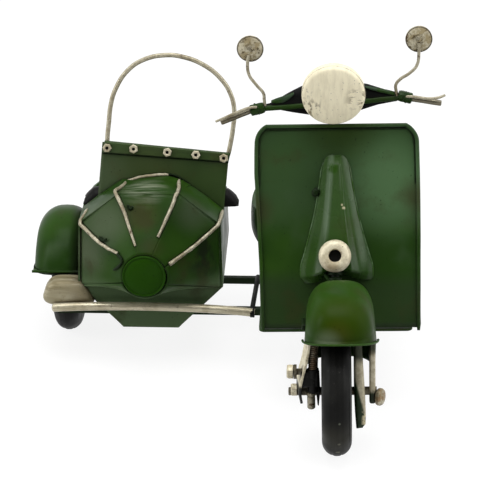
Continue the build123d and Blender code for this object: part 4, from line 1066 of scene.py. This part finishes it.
def front_axle():
    across = pole(SCOOTER, (0, 0, AXLE_Z), (1, 0, 0))
    lathe("front_axle_shank", ((0.0, -22.6), (1.7, -22.5), (2.0, -22.1), (1.85, -21.0), (2.0, -20.0), (2.0, 18.9),
                               (0.0, 18.9)), across, steering_silver(RUSTY, "front_axle"), steps=24)
    head = ((0.0, 3.2), (1.2, 3.2), (2.2, 2.75), (2.6, 2.85), (3.6, 2.5), (4.2, 1.6), (4.2, 0.5), (3.9, 0.0),
            (0.0, 0.0))
    lathe("front_axle_head", head, pole(SCOOTER, (19.4, 0, 27.3), (1, -0.42, 0.05)),
          steering_silver(BOLT_SILVER), steps=22, crease=30, wobble=0.05)
    hex_nut("front_axle_nut", 3.2, 2.8, 1.9, pole(SCOOTER, (-18.6, 0, 31.3), (-1, 0, 0)),
            steering_silver(NUT_SILVER))


DAMPER_X, DAMPER_Y = -10.8, -6.2
LINK_Z = 43.6


def suspension():
    x, y = DAMPER_X, DAMPER_Y
    turns, steps = 15.0, 240
    coil = []
    for i in range(steps + 1):
        angle = 2 * math.pi * turns * i / steps
        z = 45.0 + 15.4 * i / steps
        coil.append((x + 0.5 * (z - 45) / 15 + 1.9 * math.cos(angle), y + 1.9 * math.sin(angle), z))
    wire("spring_coil", coil, 0.42, SCOOTER, in_steering("rust_brown", SPRING_BROWN, "front_spring"), smooth=False)
    wire("spring_core", [(x, y, 44.0), (x + 0.5, y, 60.0), (x + 0.4, y + 1.2, 63.2)], 1.1, SCOOTER,
         in_steering("rust_brown", BLACK_IRON))
    down = pole(SCOOTER, (x, y, 0), (0, 0, 1))
    lathe("damper_body", ((0.0, 33.0), (2.0, 33.0), (2.6, 33.7), (2.6, 40.0), (2.3, 40.6), (2.7, 41.2), (2.7, 45.0),
                          (1.8, 45.6), (0.0, 45.6)), down, in_steering("dark_paint", BLACK_IRON, "front_damper"),
          steps=28)
    block("damper_lug", (-16.6, y - 2.4, 36.2), (x + 2.8, y + 2.2, 44.6), SCOOTER,
          in_steering("dark_paint", BLACK_IRON), bevel=1.2)
    arm = ((-9.2, 43.0), (-7.9, 40.0), (-7.6, 32.0), (-8.3, 25.0), (-8.9, 25.6), (-9.4, 31.0), (-11.0, 34.6),
           (-11.6, 42.0))
    prism("swing_plate", arm, (-5.0, 2.6), SCOOTER, in_steering("dark_paint", BLACK_IRON), bevel=0.3)
    rod = pole(SCOOTER, (x - 1.0, y, 0), (0, 0, 1))
    lathe("damper_rod", ((0.0, 24.6), (1.5, 24.7), (1.9, 25.2), (1.9, 30.6), (1.6, 31.0), (2.2, 31.6), (2.2, 32.8),
                         (1.6, 33.2), (0.0, 33.2)), rod, steering_silver(BRASS), steps=24)
    lathe("link_bolt", ((0.0, -22.4), (1.2, -22.3), (1.5, -21.9), (1.5, -10.4), (0.0, -10.4)),
          pole(SCOOTER, (0, y, LINK_Z), (1, 0, 0)), steering_silver(RUSTY), steps=20)
    hex_nut("link_nut", 3.6, 2.9, 1.45, pole(SCOOTER, (-20.0, y, LINK_Z), (-1, 0.06, 0)),
            steering_silver(NUT_SILVER))
    lathe("link_washer", ((1.4, 0.0), (3.4, 0.0), (3.4, 1.4), (1.4, 1.4)),
          pole(SCOOTER, (-18.4, y, LINK_Z), (-1, 0, 0)),
          steering_silver(RUSTY), steps=24)

    def strip(u, v):
        z = 63.2 - 37.2 * v
        x = ease(((26.0, -17.0), (33.0, -18.2), (38.0, -17.8), (43.0, -16.7), (48.0, -15.3), (54.5, -14.1),
                  (63.2, -13.2)), z)
        narrow = ease(((26.0, 0.2), (31.0, 0.65), (36.0, 1.0), (63.2, 1.0)), z)
        back = -3.4 + (11.4 * (u - 0.5)) * narrow
        return (x - 1.5 * (u - 0.5) * narrow, back, z)

    grid("link_strip_sheet", strip, 6, 28, SCOOTER, steering_silver(STRIP_PAINT, "link_strip"),
         skin=1.2, bevel=0.25)


# ================= wheels =================
def wheel(name, frame_of, body):
    ring, half = 23.5, 7.0
    profile = []
    for i in range(49):
        angle = math.radians(-141 + 282 * i / 48)
        groove = -0.2 if 0.28 < abs(angle) < 0.34 else 0.0
        profile.append((ring + (half + groove) * math.cos(angle), (half + groove) * math.sin(angle)))
    lathe(f"{name}_tyre_skin", profile, frame_of, (body, "tyre", TYRE, f"{name}_tyre"), steps=120, crease=70)
    turns = [2 * math.pi * i / 72 for i in range(72)]
    for seam, radius, across in (("mid", 30.36, -0.6), ("side", 27.3, 5.8)):
        line = [(radius * math.cos(a), radius * math.sin(a), across + 0.1 * math.sin(3 * a)) for a in turns]
        wire(f"{name}_tyre_seam_{seam}", line, 0.17, frame_of, (body, "tyre", TYRE), closed=True)
    face = ((18.0, 0.2), (18.0, 4.4), (17.6, 4.5), (16.6, 4.4), (16.2, 3.4), (13.5, 1.7), (12.4, 2.0), (9.0, 1.6),
            (6.6, 2.2), (5.2, 4.2), (5.0, 5.9), (4.7, 6.2), (2.1, 6.2))
    dish = [(r, -h) for r, h in face[::-1]] + list(face)
    lathe(f"{name}_rim_disc", dish, frame_of, (body, "dark_paint", DARK_GREEN_AND_SHADOW, f"{name}_rim"), steps=48)


def wheels():
    wheel("front", pole(SCOOTER, (0, 0, AXLE_Z), (1, 0, 0)), "front_wheel")
    wheel("rear", pole(SCOOTER, (0, WHEELBASE, AXLE_Z), (1, 0, 0)), "rear_wheel")
    wheel("sidecar", pole(CHASSIS, (SIDE_WHEEL_X, SIDE_WHEEL_Y, AXLE_Z), (1, 0, 0)), "sidecar_wheel")


# ================= sidecar nose =================
RIM_POINTS = ((-35.3, 42.5), (-34.3, 76.5), (-15.5, 92.3), (15.5, 92.3), (34.3, 76.5), (35.3, 42.5))
CAP_ANGLES = (200.0, 145.0, 107.0, 70.0, 25.0, -20.0, -160.0)
CAP_MIDDLE = (-1.4, 56.5)
CAP_RING = 11.3


def nose():
    corners = RIM_POINTS + RIM_POINTS[:1]
    facets = len(CAP_ANGLES) - 1
    cells = 10
    for facet in range(facets):
        (x0, z0), (x1, z1) = corners[facet], corners[facet + 1]
        a0, a1 = CAP_ANGLES[facet], CAP_ANGLES[facet + 1]

        def sheet(u, v, x0=x0, z0=z0, x1=x1, z1=z1, a0=a0, a1=a1):
            angle = math.radians(a0 + (a1 - a0) * u)
            near = Vector((x0 + (x1 - x0) * u, -0.1, z0 + (z1 - z0) * u))
            far = Vector((CAP_MIDDLE[0] + CAP_RING * math.cos(angle), -20.8,
                          CAP_MIDDLE[1] + CAP_RING * math.sin(angle)))
            point = near.lerp(far, v)
            sag = math.sin(math.pi * v) * math.sin(math.pi * u)
            beaten = noise.noise(point * 0.06) * 0.5
            return point + Vector((0, 1, 0)) * (0.5 * sag + beaten * sag)

        look = chassis_green(TUB_GREEN, *(("nose",) if facet == 0 else ()))
        grid(f"nose_facet_{facet + 1}", sheet, cells * 2, cells * 2, TUB, look, skin=-0.8, crease=60)
    lower = ((-14.2, 19.6), (14.2, 19.6), (35.4, 42.4), (35.2, 44.0), (-35.2, 44.0), (-35.4, 42.4))
    prism("nose_chin", lower, (-0.95, 0.0), TUB, chassis_green(TUB_GREEN), bevel=0.35)
    fold = [(-35.0, -0.6, 43.0), (-20, -0.75, 43.1), (0, -0.7, 42.9), (20, -0.75, 43.1), (35.0, -0.6, 43.0)]
    wire("nose_fold", fold, 0.45, TUB, chassis_green(TUB_GREEN))


def nose_cap():
    face = TUB @ plane((CAP_MIDDLE[0], -21.0, CAP_MIDDLE[1]), (0, 0, 1), (0, -1, 0))
    profile = ((0.0, 1.55), (4.0, 1.5), (7.4, 1.2), (9.3, 0.7), (9.7, 0.45), (10.0, 0.6), (10.5, 0.85), (10.9, 0.6),
               (11.0, 0.1), (11.0, 0.0), (0.0, 0.0))
    lathe("nose_cap_dome", profile, face, chassis_green(CAP_GREEN, "nose_cap"), steps=64, wobble=0.012)


RIDGE_RUNS = {
    # along each soldered wire: (x, back, z)
    "a": ((-32.6, 12.0, 79.2), (-33.8, 5.0, 78.2), (-34.9, 0.6, 77.4), (-34.9, -0.9, 76.0), (-32.8, -2.3, 74.6),
          (-28.7, -6.0, 72.0), (-24.8, -9.5, 69.8), (-19.5, -13.8, 68.1), (-14.8, -17.2, 67.2)),
    "b": ((-17.0, 0.2, 93.3), (-15.6, -1.9, 91.0), (-11.8, -7.0, 84.9),
          (-8.6, -12.9, 77.8), (-5.8, -18.0, 71.6)),
    "c": ((14.2, 16.0, 94.2), (14.6, 6.0, 93.9), (14.2, 0.4, 93.3), (13.4, -1.3, 92.0), (11.7, -4.7, 87.7),
          (9.3, -8.9, 82.8), (5.3, -15.0, 75.4)),
    "d": ((36.2, 16.0, 78.0), (35.9, 8.0, 77.9), (35.2, 1.0, 77.5), (34.4, -1.1, 76.3), (27.7, -6.4, 71.6),
          (21.4, -11.5, 67.7), (16.1, -15.9, 65.0), (11.2, -20.0, 62.8)),
}
RIDGE_RADII = {"a": (1.0, 0.75), "b": (1.0, 0.6), "c": (1.0, 0.7), "d": (1.0, 1.15)}
B_TAIL = ((3.6, 17.9), (-1.0, 17.3), (-5.8, 16.3), (-10.8, 15.1), (-16.4, 12.7))
DECK_BACK = ((-16.5, 12.4), (-10.8, 14.8), (-5.8, 16.0), (3.4, 17.7), (9.4, 16.5), (15.5, 14.0))
JOINT_LINE = ((-34.6, -1.0), (-26.0, 5.0), (-16.5, 12.8), (-10.8, 15.2), (-5.8, 16.5), (3.4, 18.2), (9.4, 17.0),
              (22.0, 8.6), (33.0, 1.6))


def uneven(points, amount, seed):
    """Extra points along a run, each a little off the straight line."""
    result = []
    for index, (a, b) in enumerate(zip(points, points[1:])):
        for k in range(3):
            p = Vector(a).lerp(Vector(b), k / 3)
            shake = noise.noise_vector(Vector((index * 1.7 + k * 0.61, seed, 0.5)))
            result.append(p + shake * (amount if 0 < k or index else 0))
    result.append(Vector(points[-1]))
    return result


def ridge_wires():
    for index, (name, points) in enumerate(RIDGE_RUNS.items()):
        if name == "b":
            points = [TUB.inverted() @ SCREEN @ Vector((x, s, 0.9)) for x, s in B_TAIL] + list(points)
        run = uneven(points, 0.22, index * 2.3)
        middle_size, end_size = RIDGE_RADII[name]
        radii = []
        for i in range(len(run)):
            t = i / (len(run) - 1)
            size = middle_size + (end_size - middle_size) * max(0.0, (t - 0.75) / 0.25)
            radii.append((size + 0.22 * noise.noise(Vector((i * 0.7, index * 3.0, 0)))) * (0.55 if i == 0 else 1.0))
        look = chassis_silver(WIRE_SILVER, *(("ridge_wires",) if index == 0 else ()))
        wire(f"ridge_wire_{name}", run, 0.92, TUB, look, radii=radii)
    hooks = {
        "nose_hook": ((-15.0, -17.2, 67.0), (-12.5, -20.0, 64.2), (-13.2, -20.2, 62.6), (-16.9, -17.6, 58.4)),
        "nose_mark_upper": ((-10.4, -4.6, 88.2), (-9.0, -5.6, 86.6), (-7.6, -5.2, 87.6)),
        "nose_mark_side": ((-24.6, -8.8, 72.6), (-22.6, -10.6, 71.4), (-20.8, -11.4, 72.4)),
    }
    for name, points in hooks.items():
        wire(name, points, 0.55, TUB, chassis_green(DARK_GREEN_AND_SHADOW))


def deck():
    """The slightly raised sheet between the nose and the windscreen panel, with a dark wire along its joint, a painted
    shadow.
    """
    to_tub = TUB.inverted() @ SCREEN
    back_line = [to_tub @ Vector((x, s, 0.5)) for x, s in DECK_BACK]

    def sheet(u, v):
        index = u * (len(back_line) - 1)
        first = min(int(index), len(back_line) - 2)
        rear = back_line[first].lerp(back_line[first + 1], index - first)
        front = Vector((-15.4 + 30.2 * u, 2.5, 92.3))
        point = front.lerp(rear, v)
        return point + Vector((0, 0, 0.6 * math.sin(math.pi * v) * math.sin(math.pi * u)))

    grid("nose_deck", sheet, 30, 14, TUB, chassis_green(TUB_GREEN), skin=-0.6)
    # Painted shadow: a dark wire along the joint with the panel.
    joint = [to_tub @ Vector((x, s, 0.3)) for x, s in JOINT_LINE]
    wire("deck_joint_shadow", joint, 0.42, TUB, chassis_green(DARK_GREEN_AND_SHADOW))


# ================= windscreen panel and hoop =================
STRIP_NUTS = ((-28.7, 28.8), (-15.2, 29.6), (2.1, 29.6), (16.7, 29.7), (31.0, 29.4))
HOOP_LINE = ((-28.4, 21.0), (-28.6, 25.0), (-29.2, 31.6), (-29.2, 41.0), (-28.9, 50.7), (-27.3, 58.4), (-21.5, 69.2),
             (-13.7, 75.4), (-2.8, 78.6), (4.7, 78.6), (16.2, 75.6), (25.7, 69.4), (31.5, 61.7), (34.0, 53.5),
             (34.2, 45.0), (33.6, 36.0), (33.0, 31.0), (31.4, 25.0), (31.2, 21.0))


def screen():
    def panel(u, v):
        x = -31.5 + 65.0 * u
        s = -2.6 + 34.0 * v
        return (x, s, -0.15 - 0.35 * (1 + noise.noise(Vector((x * 0.05, s * 0.08, 8.0)))))

    grid("screen_panel", panel, 40, 24, SCREEN, chassis_green(PANEL_GREEN, "windscreen_panel"), skin=-0.35)

    def strip(u, v):
        low, high = 25.8 + 1.6 * u, 32.3
        s = low + (high - low) * v
        x = -31.2 + 64.8 * u + 0.13 * (s - low)
        fold = ease(((0.0, 0.35), (0.08, 1.15), (0.5, 1.05), (0.86, 1.15), (1.0, 0.1)), v)
        return (x, s, fold + 0.12 * noise.noise(Vector((x * 0.11, s * 0.2, 2.0))) - 0.05)

    grid("screen_strip_sheet", strip, 48, 14, SCREEN, chassis_green(PANEL_GREEN, "screen_strip"), skin=-0.1,
         crease=70)
    under = [(-31.4 + 65.0 * i / 12, 25.6 + 1.6 * i / 12, 0.15) for i in range(13)]
    wire("strip_shadow_fold", under, 0.3, SCREEN, chassis_green(DARK_GREEN_AND_SHADOW), smooth=False)
    for index, (x, s) in enumerate(STRIP_NUTS):
        place = SCREEN @ moved(x, s, 1.1) @ turned(0.7 * index, "Z")
        look = chassis_silver(NUT_SILVER, *(("strip_nuts",) if index == 0 else ()))
        hex_nut(f"strip_nut_{index + 1}", 2.35, 1.5, 0.85, place, look)
        lathe(f"strip_hole_{index + 1}", ((0.0, 0.4), (0.85, 0.4), (0.9, 0.0)), place,
              in_chassis("tyre", BLACK_IRON), steps=12)
    bent = []
    for index, (x, s) in enumerate(HOOP_LINE):
        shake = noise.noise_vector(Vector((index * 0.9, 3.3, 1.0))) * 0.15
        bent.append(Vector((x + shake.x, s + min(shake.y, 0.0), -2.3)))
    wire("hoop_wire", bent, 1.2, SCREEN, chassis_silver(HOOP_SILVER, "screen_hoop"))


def dash_roll():
    def roll(u, v):
        x = -36.3 + 80.3 * v
        end = min(1.0, min(v, 1 - v) * 14) ** 0.5
        angle = math.pi * (1 - u)
        width = 5.9 * (0.75 + 0.25 * end)
        return (x, 30.5 + width * math.cos(angle), 76.6 + 7.9 * end * math.sin(angle) ** 0.8)

    grid("dash_roll", roll, 28, 60, TUB, in_chassis("black_pad", PAD, "coaming_pad"))


# ================= seats =================
def cushion(name, outline_half, depth, crown, place, look, channels=0):
    """A crowned pad: half widths along its depth, a rounded edge, pressed channels and a piping cord."""
    def top(u, v):
        half = ease(outline_half, v)
        t = 2 * u - 1
        x = half * signed_power(t, 0.9)
        edge = (1 - abs(t) ** 4) ** 0.5 * (1 - abs(2 * v - 1) ** 6) ** 0.5
        press = 0.0
        if channels:
            press = 0.9 * (0.5 + 0.5 * math.cos(2 * math.pi * channels * (u - 0.5))) ** 6
        wrinkle = 0.22 * noise.noise(Vector((x * 0.16, v * depth * 0.16, 3.0)))
        return (x, depth * v, crown * edge - press * edge + wrinkle * edge)

    piece = grid(name, top, 40, 40, place, look, skin=-0.6, levels=1)
    edge = [(-ease(outline_half, v / 20), depth * v / 20, 0.2) for v in range(21)]
    edge += [(ease(outline_half, 1 - v / 20), depth * (1 - v / 20), 0.2) for v in range(21)]
    wire(name + "_piping", edge, 0.55, place, look[:3], closed=True)
    return piece


def seats():
    rider = ((0.0, 5.5), (0.12, 7.2), (0.6, 13.5), (0.72, 16.2), (0.9, 16.4), (1.0, 14.0))
    cushion("rider_saddle_cover", rider, 41.6, 5.4, SCOOTER @ moved(0, 106.2, 97.6),
            in_chassis("seat", BROWN_HIDE, "rider_saddle"))
    block("rider_saddle_pan", (-6.8, 108.0, 96.1), (6.8, 146.0, 97.4), SCOOTER, in_chassis("dark_paint", BLACK_IRON))
    pillion = ((0.0, 8.0), (0.15, 9.2), (0.55, 12.4), (0.85, 13.4), (1.0, 12.0))
    cushion("pillion_saddle_cover", pillion, 32.6, 3.6, SCOOTER @ moved(0, 153.2, 87.2),
            in_chassis("seat", BROWN_HIDE, "pillion_saddle"))
    block("pillion_saddle_pan", (-8.4, 155.0, 86.1), (8.4, 184.0, 87.2), SCOOTER, in_chassis("dark_paint", BLACK_IRON))
    flat = ((0.0, 25.2), (0.1, 26.6), (0.9, 26.6), (1.0, 25.2))
    cushion("seat_cushion_cover", flat, 29.6, 4.6, TUB @ moved(0, 38.2, 45.2),
            in_chassis("seat", BROWN_HIDE, "seat_cushion"), channels=5)
    block("seat_cushion_base", (-25.8, 39.0, 40.0), (25.8, 67.0, 45.0), TUB, in_chassis("seat", BROWN_HIDE), bevel=1.5)
    upright = TUB @ moved(0, 64.4, 50.3) @ turned(math.radians(90), "X")
    cushion("seat_back_cover", flat, 33.4, 5.6, upright, in_chassis("seat", BROWN_HIDE, "seat_back"), channels=5)


# ================= sidecar running gear =================
def step_box():
    low, high = Vector((-151.0, 90.5, 30.9)), Vector((-121.0, 104.4, 45.1))
    middle_of = (low + high) / 2
    half = (high - low) / 2

    def pillow(u, v):
        angle = 2 * math.pi * u
        rise = math.pi * (v - 0.5)
        c, s = math.cos(angle), math.sin(angle)
        power, up_power = 2 / 4.6, 2 / 3.4
        flat = abs(math.cos(rise)) ** up_power
        up = signed_power(math.sin(rise), up_power)
        x = half.x * signed_power(c, power) * flat
        x += (max(0.0, -x / half.x) * (2.0 + 2.4 * up + 1.6 * max(0.0, -up - 0.2))
              - max(0.0, x / half.x) * 3.4 * (1 + up))
        dent = 0.35 * noise.noise(Vector((x * 0.12, up * 1.5, 0.6)))
        return (middle_of.x + x, middle_of.y + half.y * signed_power(s, power) * flat + dent,
                middle_of.z + half.z * up)

    grid("step_box_shell", pillow, 64, 40, CHASSIS, chassis_silver(BOX_SILVER, "step_box"), closed=True)


SIDE_FENDER_X = -142.3


def sidecar_fender():
    half, radius, corner = 14.1, 35.9, 13.0
    rim_line = ((-45, 45.5), (-24, 42.5), (24, 39.0), (54, 36.0))

    def drum(u, v):
        arc_at = ease(((0, -90), (0.28, -90), (0.5, 0), (0.72, 90), (1, 90)), u)
        a = math.radians(arc_at)
        inward = max(0.0, abs(u - 0.5) - 0.22) / 0.28
        x = (half - corner) * math.copysign(1, a) * min(1.0, abs(a) / 1e-3) + corner * math.sin(a) if u != 0.5 else 0.0
        r = radius - corner + corner * math.cos(a) - inward * 16.0
        sweep = math.radians(-6 + 192 * v)
        y, z = -r * math.cos(sweep), r * math.sin(sweep)
        low = ease(rim_line, y) - AXLE_Z
        z = max(z, low)
        dent = -1.4 * math.exp(-(((y + 33) / 6) ** 2 + ((z - 20) / 7) ** 2 + ((x + 1) / 6) ** 2))
        return (SIDE_FENDER_X + x, SIDE_WHEEL_Y + y - dent, AXLE_Z + z)

    grid("sidecar_fender_shell", drum, 48, 72, CHASSIS, chassis_green(WING_GREEN, "sidecar_fender"),
         skin=-0.7, crease=50)
    bead = []
    for i in range(13):
        x = -155.9 + 25.0 * i / 12
        bead.append((x, 103.2, 45.7 - 0.2 * math.sin(math.pi * i / 12)))
    wire("sidecar_fender_bead", bead, 0.75, CHASSIS, chassis_green(WING_GREEN), smooth=False)


BUMPER_LINE = ((-143.0, 88.2, 32.1), (-140.0, 88.1, 32.4), (-128.0, 88.0, 33.1), (-112.0, 88.0, 33.5),
               (-92.0, 88.0, 33.5), (-70.0, 88.0, 33.0), (-55.0, 88.0, 32.2), (-44.0, 88.0, 31.2), (-41.0, 88.0, 30.8))


def bumper():
    wire("bumper_tube", BUMPER_LINE, 2.2, CHASSIS, in_chassis("bare_steel", TUBE_SILVER, "bumper"))
    lathe("bumper_left_end", ((2.2, 0.0), (2.1, 0.6), (1.5, 1.1), (0.0, 1.5)),
          pole(CHASSIS, BUMPER_LINE[0], (-1, 0, -0.05)), in_chassis("bare_steel", TUBE_SILVER), steps=24)
    lathe("bumper_right_ring", ((1.2, -0.1), (1.2, -2.2), (2.3, -2.2), (2.35, 0.0), (1.9, 0.1), (1.2, -0.1)),
          pole(CHASSIS, (-41.0, 88.0, 30.8), (1, 0, 0)), in_chassis("tyre", BLACK_IRON), steps=24)


def side_rail():
    """The dark rail from the end of the bumper back to the rear cross bar."""
    low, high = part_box("side_rail")
    x = middle("side_rail").x - AXLE.x
    start = Vector((x, low.y / MM - AXLE.y + 0.8, low.z / MM + 1.4))
    back = Vector((x, high.y / MM - AXLE.y, high.z / MM - 1.4))
    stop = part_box("rear_cross_bar")[0].y / MM - AXLE.y - 2.0
    end = start.lerp(back, (stop - start.y) / (back.y - start.y)) + Vector((2.0, 0, 0))
    wire("side_rail_strut", [start, (start + end) / 2, end], 1.3, CHASSIS,
         in_chassis("dark_paint", BLACK_IRON, "side_rail"), smooth=False)


def tub_trim():
    """The rolled rim round the cockpit."""
    rim = [(-35.7, 38.0, 76.7), (-26.2, 73.8, 76.7), (-15.5, 74.2, 85.2), (15.5, 74.2, 85.2), (26.2, 73.8, 76.7),
           (35.7, 38.0, 76.7)]
    wire("cockpit_rim", rim, 0.7, TUB, chassis_green(TUB_GREEN), smooth=False)


# ================= the rest of the model keeps its own meshes, with a finish =================
CARRIED = {
    TUB_GREEN: ("tub",),
    GREEN: ("floorboard", "rear_body", "cowl_left", "cowl_right"),
    DARK_GREEN_AND_SHADOW: ("head_tube", "spine_tube", "rider_saddle_post", "pillion_saddle_post", "rear_arm",
                  "rear_cross_bar", "front_cross_bar"),
    LENS: ("tail_lamp",),
    TUBE_SILVER: ("silencer",),
    BLACK_IRON: ("sidecar_axle",),
}


def carried_over():
    for material, nodes in CARRIED.items():
        for node in nodes:
            cad[node].data.materials.clear()
            cad[node].data.materials.append(material)


PARTS = (
    leg_shield, steering_column, horn_cover, horn, headlamp, headset, handlebar, levers, mirrors, front_fender,
    fork, front_axle, suspension, wheels, nose, nose_cap, ridge_wires, deck, screen, dash_roll, seats, step_box,
    sidecar_fender, bumper, side_rail, tub_trim, carried_over,
)
for build_part in PARTS:
    build_part()


# ================= light, floor and surroundings =================
def soft_box(name, location, size, power, target=(0, 0, 0.06)):
    data = bpy.data.lights.new(name, "AREA")
    data.shape = "RECTANGLE"
    data.size, data.size_y = size
    data.energy = power
    lamp = bpy.data.objects.new(name, data)
    lamp.location = location
    lamp.rotation_euler = (Vector(target) - Vector(location)).to_track_quat("-Z", "Y").to_euler()
    bpy.context.scene.collection.objects.link(lamp)


SOFT_BOXES = (
    # (name, place and size in metres, watts)
    ("top_box", (0.0, -0.25, 1.5), (1.1, 1.1), 15),
    ("left_box", (-1.3, -0.5, 0.7), (0.5, 1.1), 8),
    ("right_box", (1.3, -0.4, 0.8), (0.5, 1.1), 8),
)
for soft_light in SOFT_BOXES:
    soft_box(*soft_light)


def shown_or_lit(tree, shown, lit, out):
    """One shader for camera, glossy and transmission rays, another for the light that falls on the model."""
    path = tree.nodes.new("ShaderNodeLightPath")
    seen = path.outputs["Is Camera Ray"]
    for kind in ("Is Glossy Ray", "Is Transmission Ray"):
        either = tree.nodes.new("ShaderNodeMath")
        either.operation = "MAXIMUM"
        tree.links.new(seen, either.inputs[0])
        tree.links.new(path.outputs[kind], either.inputs[1])
        seen = either.outputs[0]
    choice = tree.nodes.new("ShaderNodeMixShader")
    tree.links.new(seen, choice.inputs[0])
    tree.links.new(lit, choice.inputs[1])
    tree.links.new(shown, choice.inputs[2])
    tree.links.new(choice.outputs[0], out.inputs["Surface"])


def studio_world():
    """White all round for the camera. Light and reflections see white too, but a dim side towards -Y.

    The dim side darkens the metal that faces the photographer; the camera never shows it.
    """
    world = bpy.data.worlds.new("studio")
    world.use_nodes = True
    bpy.context.scene.world = world
    tree = world.node_tree
    fill = tree.nodes["Background"]
    fill.inputs["Strength"].default_value = 0.5
    direction = tree.nodes.new("ShaderNodeTexCoord")
    split = tree.nodes.new("ShaderNodeSeparateXYZ")
    tree.links.new(direction.outputs["Generated"], split.inputs[0])
    behind = tree.nodes.new("ShaderNodeMapRange")
    behind.interpolation_type = "SMOOTHSTEP"
    for socket, value in (("From Min", -0.92), ("From Max", -0.25), ("To Min", 0.12), ("To Max", 1.0)):
        behind.inputs[socket].default_value = value
    tree.links.new(split.outputs["Y"], behind.inputs["Value"])
    tree.links.new(behind.outputs[0], fill.inputs["Color"])
    in_view = tree.nodes.new("ShaderNodeLightPath")
    white = tree.nodes.new("ShaderNodeMath")
    white.operation = "MAXIMUM"
    tree.links.new(behind.outputs[0], white.inputs[0])
    tree.links.new(in_view.outputs["Is Camera Ray"], white.inputs[1])
    backdrop = tree.nodes.new("ShaderNodeBackground")
    tree.links.new(white.outputs[0], backdrop.inputs["Color"])
    shown_or_lit(tree, backdrop.outputs[0], fill.outputs[0], tree.nodes["World Output"])


def paper_floor():
    bpy.ops.mesh.primitive_plane_add(size=12)
    floor = bpy.context.object
    floor.name = "floor"
    paper = bpy.data.materials.new("white_paper")
    paper.use_nodes = True
    tree = paper.node_tree
    white = tree.nodes["Principled BSDF"]
    white.inputs["Base Color"].default_value = (0.62, 0.62, 0.62, 1)
    white.inputs["Roughness"].default_value = 0.9
    white.inputs["Specular IOR Level"].default_value = 0.0
    lift = tree.nodes.new("ShaderNodeEmission")
    lift.inputs["Strength"].default_value = 0.87
    grey = tree.nodes.new("ShaderNodeBsdfDiffuse")
    grey.inputs["Color"].default_value = (0.18, 0.18, 0.18, 1)
    shown = tree.nodes.new("ShaderNodeAddShader")
    tree.links.new(grey.outputs[0], shown.inputs[0])
    tree.links.new(lift.outputs[0], shown.inputs[1])
    shown_or_lit(tree, shown.outputs[0], white.outputs[0], tree.nodes["Material Output"])
    floor.data.materials.append(paper)


studio_world()
paper_floor()

scene = bpy.context.scene
scene.view_settings.view_transform = "Standard"
